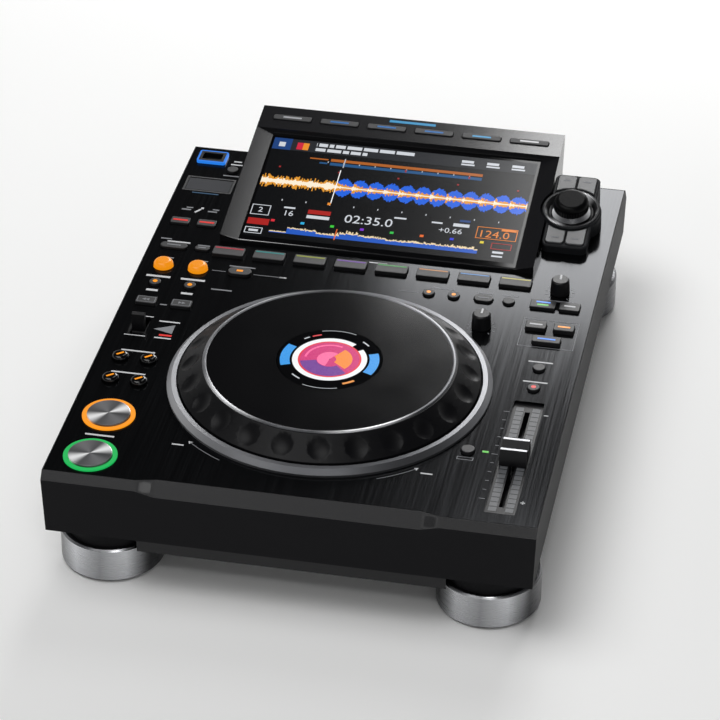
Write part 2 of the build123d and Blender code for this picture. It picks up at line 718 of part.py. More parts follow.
def case_shell():
    """The moulded case: four walls, the ledge under the deck plate and the window of the rear panel."""
    middle = (front + rear) / 2
    lower = Pos(0, middle, case_bottom) * Rectangle(width - 2 * SIDE_DRAFT, rear - front)
    upper = Pos(0, middle, deck) * Rectangle(width, rear - front)
    shell = loft([lower, upper], ruled=True) - front_edge_cut()
    wedge = [
        (rear + 1, deck - REAR_CHAMFER - 1),
        (rear + 1, deck + 1),
        (deck_rear - 1, deck + 1),
    ]
    for x0, x1 in ((left - 1, -hood_half), (hood_half, right + 1)):
        shell -= profile(wedge, x0, x1)
    shell -= case_cavity()
    shell -= slab(plate_outline(PLATE_SEAM), plate_under, deck + 1)
    seat = front + MIDDLE_CHAMFER + PLATE_RIM
    shell -= block(-floor_half, floor_half, seat + LEDGE_WIDTH, deck_rear - LEDGE_WIDTH, case_bottom, deck)
    for side in (-1, 1):
        x0, x1 = sorted((side * MIDDLE_CHAMFER_HALF, side * floor_half))
        shell -= block(x0, x1, seat, seat + LEDGE_WIDTH, case_bottom, deck)
    window_z = case_bottom + WINDOW_BOTTOM
    window_y = (rear - 2 * CASE_WALL, rear + 1)
    shell -= block(-WINDOW_HALF, WINDOW_HALF, *window_y, window_z, window_z + WINDOW_HEIGHT)
    boss_floor = case_bottom + BASE_THICKNESS
    for x, y in boss_places:
        reach = math.copysign(BOSS_WIDTH / 2 + 1, x)
        x0, x1 = sorted((x - math.copysign(BOSS_WIDTH / 2, x), x + reach))
        boss = block(x0, x1, y - BOSS_WIDTH / 2, y + BOSS_WIDTH / 2, boss_floor, boss_floor + BOSS_HEIGHT)
        shell += boss
        shell -= post(x, y, SCREW_RADIUS + SCREW_GAP, boss_floor - 1, boss_floor + BOSS_HEIGHT / 2)
    return shell


def deck_plate():
    """The brushed deck plate with the holes of everything that stands in it or passes through it."""
    plate = slab(plate_outline(), plate_under, deck)
    through = (plate_under - 1, deck + 1)
    plate -= post(0, jog_y, deck_jog_radius, *through)
    for keys in KEYS.values():
        for key in keys:
            plate -= deck_key_hole(key)
    for y in big_buttons.values():
        plate -= post(big_x, y, guide_radius, *through)
    for x, y in knobs.values():
        plate -= post(x, y, KNOB_SHAFT_RADIUS + KNOB_SHAFT_GAP, *through)
    fader_slot = RectangleRounded(FADER_WIDTH, 2 * fader_half, SLOT_CORNER)
    plate -= Pos(right_x, fader_y, 0) * slab(fader_slot, *through)
    lever_slot = RectangleRounded(LEVER_SLOT_WIDTH, LEVER_SLOT_LENGTH, SLOT_CORNER)
    plate -= Pos(lever_x, lever_y, 0) * slab(lever_slot, *through)
    plate -= Pos(usb_x, usb_y, 0) * slab(usb_frame_plan(), *through)
    plate -= Pos(sd_x, sd_y, 0) * slab(sd_plan(SD_GAP + SD_FRAME), *through)
    return plate - lcd_room()


def lcd_room():
    """The opening under the hood that lets the lower end of the LCD module into the deck."""
    half = screen_width / 2 + LCD_BORDER + LCD_ROOM
    near = hood_front + HOOD_WALL
    return block(-half, half, near, near + screen_length / 2, plate_under - 1, deck + 1)


def pan_plan(inset=0.0):
    """The belly pan's plan: a rectangle hollowed round the four feet."""
    plan = Pos(0, (front + rear) / 2) * Rectangle(
        2 * (PAN_HALF_WIDTH - inset), rear - front - 2 * (PAN_SETBACK + inset)
    )
    for x, y in foot_places:
        plan -= Pos(x, y) * Circle(FOOT_RADIUS + FOOT_GAP + inset)
    return plan


def belly_pan():
    """The sheet steel pan under the case, open towards the base plate."""
    hollow = slab(pan_plan(PAN_WALL), PAN_CLEARANCE + PAN_WALL, case_bottom + 1)
    return slab(pan_plan(), PAN_CLEARANCE, case_bottom) - hollow


def base_plate():
    """The plate that closes the case, with the hatch into the pan and the necks that carry the feet."""
    half = floor_half - BASE_GAP
    inset = CASE_WALL + BASE_GAP
    plate = block(-half, half, front + inset, rear - inset, case_bottom, case_bottom + BASE_THICKNESS)
    hatch_half = PAN_HALF_WIDTH - FOOT_GAP - PAN_HATCH_MARGIN
    hatch_inset = FOOT_EDGE_Y + FOOT_RADIUS + PAN_HATCH_MARGIN
    plate -= block(
        -hatch_half, hatch_half, front + hatch_inset, rear - hatch_inset,
        case_bottom - 1, case_bottom + BASE_THICKNESS + 1,
    )
    for x, y in foot_places:
        plate += post(x, y, FOOT_NECK_RADIUS, FOOT_SHELL_TOP, case_bottom)
        plate -= post(x, y, SCREW_RADIUS + SCREW_GAP, FOOT_SHELL_TOP - 1, case_bottom + BASE_THICKNESS + 1)
    for x, y in boss_places:
        plate -= post(x, y, SCREW_RADIUS + SCREW_GAP, case_bottom - 1, case_bottom + BASE_THICKNESS + 1)
    return plate


def foot_shell(x, y):
    """A turned aluminium foot with a pocket for its pad and a recess for its screw."""
    shell = post(x, y, FOOT_RADIUS, FOOT_LIFT, FOOT_SHELL_TOP)
    rims = shell.edges().filter_by(GeomType.CIRCLE)
    shell = chamfer(rims, FOOT_CHAMFER)
    shell -= post(x, y, PAD_RADIUS + PAD_GAP, FOOT_LIFT - 1, PAD_THICKNESS)
    shell -= post(x, y, SCREW_RECESS_RADIUS, PAD_THICKNESS - 1, PAD_THICKNESS + SCREW_HEAD_HEIGHT)
    return shell - post(x, y, SCREW_RADIUS + SCREW_GAP, PAD_THICKNESS, FOOT_SHELL_TOP + 1)


def foot_pad(x, y):
    """A rubber pad with a hole for the screw's driver."""
    return tube(x, y, PAD_RADIUS, PAD_HOLE_RADIUS, 0, PAD_THICKNESS)


def screw(x, y, head_z, length):
    """A pan head screw that goes up from the underside of its head."""
    head = post(x, y, SCREW_HEAD_RADIUS, head_z - SCREW_HEAD_HEIGHT, head_z)
    return head + post(x, y, SCREW_RADIUS, head_z, head_z + length)


def screws():
    """The screws of the feet and of the base plate."""
    foot_head = PAD_THICKNESS + SCREW_HEAD_HEIGHT
    foot_screws = [screw(x, y, foot_head, case_bottom - foot_head) for x, y in foot_places]
    boss_screws = [screw(x, y, case_bottom, BASE_THICKNESS + BOSS_HEIGHT / 3) for x, y in boss_places]
    return Compound(children=foot_screws + boss_screws)


def hood_profile():
    """The hood's side: a low lip, the slope of the screen, the brow and a back that leans out."""
    return [
        (hood_front, deck),
        (hood_front, slope_low),
        (brow_front, slope_high),
        (brow_front, brow_edge),
        (brow_front + brow_run, top),
        (hood_rear, top - HOOD_EDGE),
        (rear, deck),
    ]


def hood_cavity():
    """The inside of the hood, open towards the deck, with a wall left round the selector's dish."""
    drop = screen_wall / math.cos(math.radians(screen_tilt))
    fall = math.tan(math.radians(screen_tilt))
    near = hood_front + max(HOOD_WALL, (drop - HOOD_LIP) / fall)
    near_z = slope_low + (near - hood_front) * fall - drop
    brow_fall = math.tan(math.radians(brow_tilt))
    brow_wall = HOOD_WALL / math.cos(math.radians(brow_tilt))
    points = [
        (near, deck - 1),
        (near, near_z),
        (brow_front + HOOD_WALL, slope_high + HOOD_WALL * fall - drop),
        (brow_front + HOOD_WALL, brow_edge + HOOD_WALL * brow_fall - brow_wall),
        (hood_rear - HOOD_WALL, brow_edge + (BROW_DEPTH - HOOD_WALL) * brow_fall - brow_wall),
        (rear - HOOD_WALL, deck),
        (rear - HOOD_WALL, deck - 1),
    ]
    inside = hood_half - HOOD_WALL
    return profile(points, -inside, inside) - dish_column(POD_GAP + HOOD_WALL)


def dish_column(grow):
    """A column round the selector's dish, square to the pod's top."""
    return pod_plane * post(0, 0, DISH_RADIUS + grow, -POD_REACH, POD_REACH)


def rail(side):
    """A rail beside the glass, rising from the glass to the brow's height at the hood's side."""
    inner = side * (glass_width / 2 + GLASS_SEAM)
    outer = side * hood_half
    points = [(inner, -GLASS_LEDGE), (inner, 0), (outer, BROW_STEP), (outer, -GLASS_LEDGE)]
    face = Pos(0, hood_front, slope_low) * (Plane.XZ * Polygon(*points, align=None))
    tilt = math.radians(screen_tilt)
    return extrude(face, amount=slope_length, dir=(0, math.cos(tilt), math.sin(tilt)))


def display_housing():
    """The display hood: a shell with a seat for the glass, key holes in its brow and a notch for the dish."""
    hood = profile(hood_profile(), -hood_half, hood_half) + rail(-1) + rail(1)
    hood -= hood_cavity()
    hood -= dish_column(POD_GAP)
    seat = Rectangle(glass_width + 2 * GLASS_SEAM, glass_length + 2 * GLASS_SEAM)
    hood -= screen_plane * slab(seat, -GLASS_THICKNESS, 1)
    opening = Rectangle(glass_width - 2 * GLASS_LEDGE_WIDTH, glass_length - 2 * GLASS_LEDGE_WIDTH)
    hood -= screen_plane * slab(opening, -screen_wall - HOOD_WALL, 1)
    for key in menu_keys:
        hood -= brow_plane * Pos(key.x, key.y, 0) * key_hole(key, HOOD_WALL)
    return hood - status_pocket(PLATE_SEAM)


def status_pocket(grow=0.0):
    """The place of the status light in the brow's rear edge."""
    plan = Rectangle(STATUS_LENGTH + 2 * grow, STATUS_WIDTH + 2 * grow)
    place = brow_plane * Pos(0, brow_length / 2 - STATUS_INSET)
    return place * slab(plan, -STATUS_DEPTH, 0 if grow == 0 else 1)


def display_glass():
    """The touch glass, flush with the inner edges of the hood's rails."""
    return screen_plane * slab(Rectangle(glass_width, glass_length), -GLASS_THICKNESS, 0)


def lcd_module():
    """The LCD module against the underside of the hood's slope."""
    plan = Rectangle(screen_width + 2 * LCD_BORDER, screen_length + 2 * LCD_BORDER)
    return screen_plane * slab(plan, -screen_wall - LCD_THICKNESS, -screen_wall)


def menu_key_strip():
    """The six menu keys on the brow."""
    caps = [brow_plane * Pos(key.x, key.y, 0) * key_solid(key, HOOD_WALL, KEY_EDGE) for key in menu_keys]
    return Compound(children=caps)


def jog_bezel():
    """The fixed bezel round the jog wheel, with a sloping crest."""
    inner = JOG_BEZEL_RADIUS - BEZEL_WIDTH
    crest = inner + BEZEL_CREST
    points = [
        (inner, 0),
        (JOG_BEZEL_RADIUS, 0),
        (JOG_BEZEL_RADIUS, BEZEL_HEIGHT / 3),
        (crest, BEZEL_HEIGHT),
        (inner, BEZEL_HEIGHT),
    ]
    return turned(points, 0, jog_y, deck)


def jog_base():
    """The pan that hangs under the deck and carries the jog wheel's bearing."""
    flange = deck_jog_radius + JOG_FLANGE_WIDTH
    wall = deck_jog_radius - JOG_PAN_WALL
    pan = post(0, jog_y, deck_jog_radius, jog_floor - JOG_PAN_WALL, plate_under)
    pan -= post(0, jog_y, wall, jog_floor, plate_under + 1)
    pan += tube(0, jog_y, flange, wall, plate_under - JOG_PAN_WALL, plate_under)
    bore = hub_radius + BEARING_FIT
    boss_top = ring_base - CARRIER_THICKNESS - HUB_END_GAP
    return pan + tube(0, jog_y, bore + BEARING_WALL, bore, jog_floor, boss_top)


def jog_hub():
    """The hollow shaft of the jog wheel with the carrier disc on top."""
    carrier = post(0, jog_y, jog_radius - CARRIER_SETBACK, ring_base - CARRIER_THICKNESS, ring_base)
    shaft = post(0, jog_y, hub_radius, jog_floor + HUB_END_GAP, ring_base)
    return carrier + shaft - post(0, jog_y, POST_RADIUS + POST_GAP, jog_floor, ring_base + 1)


def jog_ring():
    """The sloping outer ring of the jog wheel with its ring of finger dimples."""
    shoulder = ring_base + RING_EDGE - deck
    seat = platter_seat - deck
    crest = platter_top - TRIM_RISE - deck
    lip = trim_radius + TRIM_SEAM
    crest_radius = lip + RING_CREST
    ledge = trim_radius - PLATTER_LEDGE
    run = jog_radius - crest_radius
    lean = math.hypot(run, crest - shoulder)
    inset = RING_WALL * lean / (crest - shoulder)
    foot = jog_radius - RING_FOOT
    under = seat - PLATTER_LEDGE_THICKNESS

    points = [
        (foot, JOG_LIFT),
        (jog_radius, JOG_LIFT),
        (jog_radius, shoulder),
        (crest_radius, crest),
        (lip, crest),
        (lip, seat),
        (ledge, seat),
        (ledge, under),
        (jog_radius - inset - (under - shoulder) * run / (crest - shoulder), under),
        (foot, shoulder + (jog_radius - inset - foot) * (crest - shoulder) / run),
    ]
    ring = turned(points, 0, jog_y, deck)
    half = DIMPLE_DIAMETER / 2
    ball = (half**2 + DIMPLE_DEPTH**2) / (2 * DIMPLE_DEPTH)
    out = (ball - DIMPLE_DEPTH) / lean
    ball_radius = (jog_radius + crest_radius) / 2 + out * (crest - shoulder)
    ball_z = deck + (shoulder + crest) / 2 + out * run
    for i in range(DIMPLE_COUNT):
        turn = 2 * math.pi * (i + 0.5) / DIMPLE_COUNT
        ring -= Pos(ball_radius * math.cos(turn), jog_y + ball_radius * math.sin(turn), ball_z) * Sphere(ball)
    return ring


def jog_platter():
    """The flat top of the jog wheel, open in the middle for the fixed display."""
    return tube(0, jog_y, platter_radius - TRIM_SEAM, WINDOW_RADIUS + WINDOW_GAP, platter_seat, platter_top)


def jog_trim_ring():
    """The bright trim round the platter, standing a little proud of it."""
    height = PLATTER_THICKNESS + TRIM_RISE
    points = [
        (platter_radius, 0),
        (trim_radius, 0),
        (trim_radius, height - TRIM_EDGE),
        (trim_radius - TRIM_EDGE, height),
        (platter_radius + TRIM_EDGE, height),
        (platter_radius, height - TRIM_RISE),
    ]
    return turned(points, 0, jog_y, platter_seat)


def jog_display():
    """The fixed display in the jog wheel's hub, on a post through the hollow shaft."""
    module_top = platter_top - WINDOW_THICKNESS
    module = post(0, jog_y, WINDOW_RADIUS, module_top - MODULE_THICKNESS, module_top)
    return module + post(0, jog_y, POST_RADIUS, jog_floor, module_top)


def jog_display_window():
    """The clear window over the jog display, level with the platter."""
    return post(0, jog_y, WINDOW_RADIUS, platter_top - WINDOW_THICKNESS, platter_top)


def pod_plan(inset=0.0):
    """The selector pod's plan: a rounded bar with the round dish across it."""
    bar = RectangleRounded(POD_WIDTH - 2 * inset, POD_LENGTH - 2 * inset, POD_CORNER - inset)
    return bar + Circle(DISH_RADIUS - inset)


def pod_key(side, end, grow):
    """The plan of a pod key: a block beside the dish, hollowed along it."""
    wide = POD_WIDTH / 2 - POD_KEY_MARGIN - POD_KEY_GAP / 2
    reach = POD_LENGTH / 2 - POD_KEY_MARGIN
    dish = DISH_RADIUS + POD_KEY_GAP
    long = reach - dish / 2
    x = side * (POD_KEY_GAP / 2 + wide / 2)
    y = end * (reach - long / 2)
    plan = Pos(x, y) * RectangleRounded(wide + 2 * grow, long + 2 * grow, POD_KEY_CORNER + grow)
    return plan - Circle(dish - grow)


POD_KEY_PLACES = [(side, end) for end in (1, -1) for side in (-1, 1)]


def selector_pod():
    """The raised pod of the rotary selector: a shell with a dish, a shaft bush and four key holes."""
    bar = slab(RectangleRounded(POD_WIDTH, POD_LENGTH, POD_CORNER), -POD_REACH, 0)
    bar = chamfer(top_face_edges(bar), POD_EDGE)
    disc = post(0, 0, DISH_RADIUS, -POD_REACH, 0)
    disc = chamfer(top_face_edges(disc), POD_EDGE)
    pod = bar + disc - slab(pod_plan(POD_SIDE), -POD_REACH - 1, -POD_WALL)
    rim = DISH_RADIUS - DISH_RIM
    foot = rim - DISH_RIM
    lean = DISH_RIM / (DISH_RISE + DISH_FLOOR)
    collar = [
        (foot, -POD_EDGE),
        (DISH_RADIUS - POD_EDGE, -POD_EDGE),
        (DISH_RADIUS - POD_EDGE, DISH_RISE - POD_EDGE),
        (DISH_RADIUS - 2 * POD_EDGE, DISH_RISE),
        (foot, DISH_RISE),
    ]
    bowl = [
        (0, -DISH_FLOOR),
        (foot, -DISH_FLOOR),
        (rim + lean, DISH_RISE + 1),
        (0, DISH_RISE + 1),
    ]
    pod += turned(collar, 0, 0, 0)
    pod -= turned(bowl, 0, 0, 0)
    bore = SELECTOR_SHAFT_RADIUS + SELECTOR_SHAFT_FIT
    bush_top = -(POD_WALL + DISH_FLOOR) / 2
    pod += post(0, 0, bore + BUSH_WALL, -POD_WALL - BUSH_DEPTH, bush_top)
    pod -= post(0, 0, bore, -POD_WALL - BUSH_DEPTH - 1, 1)
    for side, end in POD_KEY_PLACES:
        pod -= slab(pod_key(side, end, KEY_GAP), -2 * POD_WALL, POD_WALL)
    below = Pos(pod_x, pod_y, deck - POD_REACH) * Box(2 * POD_LENGTH, 2 * POD_LENGTH, 2 * POD_REACH)
    return pod_plane * pod - below


def selector_keys():
    """The four keys of the pod, two behind the dish and two in front of it."""
    flange_top = -POD_WALL - KEY_PLAY
    keys = []
    for side, end in POD_KEY_PLACES:
        cap = slab(pod_key(side, end, 0.0), flange_top, POD_KEY_RISE)
        cap = chamfer(top_face_edges(cap), KEY_EDGE)
        cap += slab(pod_key(side, end, POD_KEY_LIP), flange_top - KEY_FLANGE, flange_top)
        keys.append(pod_plane * cap)
    return Compound(children=keys)


def selector_shaft():
    """The shaft that the selector knob turns on, and that is pressed in with it."""
    shaft_top = selector_base + SELECTOR_HEIGHT - SELECTOR_CAP - KNOB_LIFT
    shaft = post(0, 0, SELECTOR_SHAFT_RADIUS, -POD_WALL - BUSH_DEPTH - SHAFT_TAIL, shaft_top)
    tail = -POD_WALL - BUSH_DEPTH - KEY_PLAY
    clip = post(0, 0, SELECTOR_SHAFT_RADIUS + KEY_LIP, tail - KEY_FLANGE, tail)
    return pod_plane * (shaft + clip)


def selector_knob():
    """The domed selector knob in the dish, bored for its shaft."""
    knob = post(0, 0, SELECTOR_RADIUS, selector_base, selector_base + SELECTOR_HEIGHT)
    knob = fillet(top_face_edges(knob), SELECTOR_HEIGHT / 3)
    bore = SELECTOR_SHAFT_RADIUS + SELECTOR_SHAFT_FIT
    knob -= post(0, 0, bore, selector_base - 1, selector_base + SELECTOR_HEIGHT - SELECTOR_CAP)
    return pod_plane * knob


def big_button(y):
    """A play or cue button: a shallow dished disc that slides in its light ring."""
    flange_top = plate_under - GUIDE_DROP - KEY_PLAY
    disc = post(big_x, y, DISC_RADIUS, flange_top, deck + DISC_RISE)
    disc = fillet(top_face_edges(disc), KEY_EDGE)
    return disc + post(big_x, y, DISC_RADIUS + DISC_LIP, flange_top - KEY_FLANGE, flange_top)


def light_ring(y):
    """A light ring: a tube through the deck with a flange on top."""
    ring = tube(big_x, y, guide_radius, disc_hole, plate_under - GUIDE_DROP, deck)
    return ring + tube(big_x, y, GUIDE_FLANGE_RADIUS, disc_hole, deck, deck + GUIDE_FLANGE)


def usb_frame_plan():
    """The outline of the lit frame round the USB well, and of its hole in the deck."""
    wide = USB_WELL_WIDTH + 2 * USB_FRAME_WIDTH
    deep = USB_WELL_DEPTH + 2 * USB_FRAME_WIDTH
    return RectangleRounded(wide, deep, USB_FRAME_CORNER)


def usb_frame():
    """The lit frame round the USB well, which stands through the deck."""
    plan = usb_frame_plan() - Rectangle(USB_WELL_WIDTH, USB_WELL_DEPTH)
    return Pos(usb_x, usb_y, 0) * slab(plan, plate_under, deck + USB_FRAME_RISE)


def light_guides():
    """All the lit pieces that stand in the casing: two rings, the USB frame and the status light."""
    rings = [light_ring(y) for y in big_buttons.values()]
    return Compound(children=rings + [usb_frame(), status_pocket()])


def knob(x, y):
    """A small pot knob with its shaft."""
    base = deck + KNOB_LIFT
    body = [
        (0, 0),
        (KNOB_RADIUS, 0),
        (KNOB_RADIUS - KNOB_TAPER, KNOB_HEIGHT - KNOB_EDGE),
        (KNOB_RADIUS - KNOB_TAPER - KNOB_EDGE, KNOB_HEIGHT),
        (0, KNOB_HEIGHT),
    ]
    shaft = post(x, y, KNOB_SHAFT_RADIUS, plate_under - POT_HEIGHT + POT_MARGIN, base)
    return turned(body, x, y, base) + shaft


def pot(x, y):
    """The pot under a knob, hung from the deck."""
    return tube(x, y, POT_RADIUS, KNOB_SHAFT_RADIUS + POT_FIT, plate_under - POT_HEIGHT, plate_under)


def fader_bed():
    """The floor of the fader's recess with the slider's channel below it."""
    slot = (FADER_TRAVEL + STEM_LENGTH) / 2 + STEM_GAP
    slot_half = STEM_WIDTH / 2 + STEM_GAP
    bed_half = FADER_WIDTH / 2 + BED_LIP
    floor = plate_under - BED_THICKNESS
    end = fader_half + BED_LIP
    bed = block(-bed_half, bed_half, -end, end, floor, plate_under)
    channel_half = slot_half + BED_THICKNESS
    channel_end = slot + BED_THICKNESS
    bed += block(-channel_half, channel_half, -channel_end, channel_end, floor - BED_DEPTH, floor)
    bed -= block(-slot_half, slot_half, -slot, slot, floor - BED_DEPTH + BED_THICKNESS, plate_under + 1)
    return Pos(right_x, fader_y, 0) * bed


def tempo_fader_cap():
    """The fader cap: two grip ridges either side of a groove, on a flat stem."""
    half = CAP_LENGTH / 2
    foot = plate_under + CAP_LIFT
    crest = deck + CAP_RISE
    shoulder = deck + CAP_RISE / 3
    groove = crest - CAP_GROOVE_DEPTH
    ridge_out = half - CAP_RIDGE_INSET
    ridge_in = ridge_out - CAP_RIDGE
    right_half = [
        (CAP_GROOVE / 2, groove), (ridge_in, crest), (ridge_out, crest), (half, shoulder), (half, foot),
    ]
    outline = [(-y, z) for y, z in reversed(right_half)] + right_half
    cap_half = FADER_WIDTH / 2 - CAP_SIDE_GAP
    cap = profile(outline, -cap_half, cap_half)
    stem = Pos(0, 0, foot - STEM_DEPTH / 2) * Box(STEM_WIDTH, STEM_LENGTH, STEM_DEPTH)
    return Pos(right_x, fader_y, 0) * (cap + stem)


def lever_bracket():
    """The bracket under the deck that carries the direction lever's pins."""
    inner = LEVER_WIDTH / 2 + LEVER_SIDE_GAP
    outer = inner + EAR_WIDTH
    half = LEVER_SLOT_LENGTH / 2 + BRACKET_MARGIN
    floor = lever_pivot - LEVER_HUB_RADIUS - BRACKET_MARGIN
    bracket = block(-outer, outer, -half, half, floor - BRACKET_FLOOR, plate_under)
    bracket -= block(-inner, inner, -half - 1, half + 1, floor, plate_under + 1)
    bracket -= across(0, 0, lever_pivot, LEVER_PIN_RADIUS + PIN_FIT, 2 * (inner + LEVER_PIN_LENGTH + PIN_END))
    return Pos(lever_x, lever_y, 0) * bracket


def direction_lever():
    """The direction lever: a paddle on a cross pin."""
    half = LEVER_THICKNESS / 2
    tip = deck + LEVER_RISE
    back = [
        (half - LEVER_TAPER - LEVER_TIP, tip),
        (half - LEVER_TAPER, tip - LEVER_TIP),
        (half, deck + LEVER_SHOULDER),
        (half, lever_pivot),
    ]
    outline = [(-y, z) for y, z in reversed(back)] + back
    lever = profile(outline, -LEVER_WIDTH / 2, LEVER_WIDTH / 2)
    lever += across(0, 0, lever_pivot, LEVER_HUB_RADIUS, LEVER_WIDTH)
    pin = LEVER_WIDTH + 2 * (LEVER_SIDE_GAP + LEVER_PIN_LENGTH)
    lever += across(0, 0, lever_pivot, LEVER_PIN_RADIUS, pin)
    return Pos(lever_x, lever_y, 0) * lever


def sd_plan(grow=0.0):
    """The plan of the SD door, grown for its opening and its frame."""
    return Rectangle(SD_WIDTH + 2 * grow, SD_DEPTH + 2 * grow)


def sd_frame():
    """The frame round the SD door, with the holes of its hinge pins and the reader's floor below."""
    frame = slab(sd_plan(SD_GAP + SD_FRAME), plate_under - SD_FRAME_DEPTH, deck)
    frame -= slab(sd_plan(SD_GAP), plate_under - SD_FRAME_DEPTH + SD_FRAME, deck + 1)
    reach = SD_WIDTH + 2 * (SD_GAP + SD_PIN_LENGTH)
    return Pos(sd_x, sd_y, 0) * frame - across(sd_x, sd_hinge_y, sd_hinge_z, SD_PIN_RADIUS + PIN_FIT, reach)


def sd_door():
    """The SD door: a flap with a rounded hinge edge and a pin at each end."""
    half = SD_THICKNESS / 2
    flap_y = (sd_y - SD_DEPTH / 2, sd_hinge_y)
    door = block(sd_x - SD_WIDTH / 2, sd_x + SD_WIDTH / 2, *flap_y, deck - SD_THICKNESS, deck)
    door += across(sd_x, sd_hinge_y, sd_hinge_z, half, SD_WIDTH)
    pins = SD_WIDTH + 2 * (SD_GAP + SD_PIN_LENGTH - PIN_END)
    return door + across(sd_x, sd_hinge_y, sd_hinge_z, SD_PIN_RADIUS, pins)


def usb_socket():
    """The USB socket under its well, on a plate that hangs from the deck."""
    border = USB_FRAME_WIDTH + USB_PLATE_BORDER
    plate = Rectangle(USB_WELL_WIDTH + 2 * border, USB_WELL_DEPTH + 2 * border)
    shell = Rectangle(USB_SHELL_WIDTH, USB_SHELL_DEPTH)
    inner_width = USB_SHELL_WIDTH - 2 * USB_SHELL_WALL
    inner = Rectangle(inner_width, USB_SHELL_DEPTH - 2 * USB_SHELL_WALL)
    bottom = plate_under - USB_SHELL_LENGTH
    socket = slab(plate, plate_under - USB_PLATE, plate_under)
    socket += slab(shell, bottom, plate_under)
    socket -= slab(inner, bottom + USB_SHELL_WALL, plate_under + 1)
    tongue = Pos(0, USB_TONGUE / 2) * Rectangle(inner_width - 2 * USB_TONGUE_SIDE, USB_TONGUE)
    return Pos(usb_x, usb_y, 0) * (socket + slab(tongue, bottom, plate_under - USB_PLATE))


# Rear panel heights
panel_face = rear - CASE_WALL
socket_z = case_bottom + WINDOW_BOTTOM + WINDOW_HEIGHT / 2


def rear_hole(x, wide, high):
    """A socket's hole in the rear panel."""
    half_x = wide / 2 + SOCKET_GAP
    half_z = high / 2 + SOCKET_GAP
    deep = panel_face - 2 * PANEL_THICKNESS
    return block(x - half_x, x + half_x, deep, panel_face + 1, socket_z - half_z, socket_z + half_z)


def audio_places():
    """The audio jacks' places across."""
    return [AUDIO_X + i * AUDIO_PITCH for i in range(AUDIO_COUNT)]


def rear_panel():
    """The socket panel behind the window of the rear wall."""
    z0 = socket_z - WINDOW_HEIGHT / 2 - PANEL_LIP
    z1 = socket_z + WINDOW_HEIGHT / 2 + PANEL_LIP
    half = WINDOW_HALF + PANEL_LIP
    panel = block(-half, half, panel_face - PANEL_THICKNESS, panel_face, z0, z1)
    panel -= rear_hole(INLET_X, INLET_WIDTH, INLET_HEIGHT)
    panel -= rear_hole(SWITCH_X, SWITCH_WIDTH, SWITCH_HEIGHT)
    panel -= rear_hole(LAN_X, LAN_WIDTH, LAN_HEIGHT)
    panel -= rear_hole(USB_B_X, USB_B_WIDTH, USB_B_HEIGHT)
    for x in audio_places():
        hole = AUDIO_RADIUS + SOCKET_GAP
        panel -= Pos(x, panel_face, socket_z) * Rot(90, 0, 0) * Cylinder(hole, 4 * PANEL_THICKNESS)
    return panel


def rear_block(x, wide, high, deep, proud=SOCKET_PROUD):
    """A socket's body through the rear panel."""
    mouth = panel_face + proud
    return Pos(x, mouth - deep / 2, socket_z) * Box(wide, deep, high)


def rear_pocket(x, wide, high, deep):
    """The hollow that leads into a socket from its mouth."""
    return rear_block(x, wide, high, deep + 1, SOCKET_PROUD + 1)


def inlet():
    """The mains inlet with its three pins."""
    body = rear_block(INLET_X, INLET_WIDTH, INLET_HEIGHT, INLET_DEPTH)
    wide = INLET_WIDTH - 2 * INLET_WALL
    high = INLET_HEIGHT - 2 * INLET_WALL
    body -= rear_pocket(INLET_X, wide, high, INLET_DEPTH - INLET_WALL)
    mouth = panel_face + SOCKET_PROUD
    for i, lift in ((-1, -1), (0, 1), (1, -1)):
        x = INLET_X + i * INLET_PIN_PITCH
        z = socket_z + lift * INLET_PIN_HEIGHT / 2
        body += block(
            x - INLET_PIN_WIDTH / 2, x + INLET_PIN_WIDTH / 2,
            mouth - INLET_DEPTH + INLET_WALL / 2, mouth - INLET_PIN_RECESS,
            z - INLET_PIN_HEIGHT / 2, z + INLET_PIN_HEIGHT / 2,
        )
    return body


def lan_socket():
    """The network socket."""
    body = rear_block(LAN_X, LAN_WIDTH, LAN_HEIGHT, LAN_DEPTH)
    return body - rear_pocket(LAN_X, LAN_WIDTH - 2 * LAN_WALL, LAN_HEIGHT - 2 * LAN_WALL, LAN_CAVITY)


def usb_b_socket():
    """The square USB socket with its middle tongue."""
    body = rear_block(USB_B_X, USB_B_WIDTH, USB_B_HEIGHT, LAN_DEPTH)
    body -= rear_pocket(USB_B_X, USB_B_WIDTH - 2 * LAN_WALL, USB_B_HEIGHT - 2 * LAN_WALL, LAN_CAVITY)
    return body + rear_block(USB_B_X, USB_B_WIDTH / 2, USB_B_HEIGHT / 4, LAN_DEPTH - SOCKET_PROUD, 0)


def audio_jack(x):
    """An audio jack: a barrel with a nut against the panel and a tail behind it."""
    def lying(radius, y0, y1):
        return Pos(x, (y0 + y1) / 2, socket_z) * Rot(90, 0, 0) * Cylinder(radius, y1 - y0)

    barrel = lying(AUDIO_RADIUS, panel_face - AUDIO_TAIL, panel_face + AUDIO_LENGTH)
    return barrel + lying(AUDIO_NUT_RADIUS, panel_face, panel_face + AUDIO_NUT_HEIGHT)


def switch_frame():
    """The power switch's body, open for its rocker and holed for the rocker's pins."""
    body = rear_block(SWITCH_X, SWITCH_WIDTH, SWITCH_HEIGHT, SWITCH_DEPTH)
    wide = ROCKER_WIDTH + 2 * ROCKER_SIDE_GAP
    high = ROCKER_HEIGHT + 2 * ROCKER_END_GAP
    body -= rear_pocket(SWITCH_X, wide, high, SWITCH_DEPTH - SWITCH_FLOOR)
    reach = wide + 2 * ROCKER_PIN_LENGTH
    return body - across(SWITCH_X, rocker_y, socket_z, ROCKER_PIN_RADIUS + PIN_FIT, reach)


rocker_y = panel_face + SOCKET_PROUD - ROCKER_DEPTH / 2


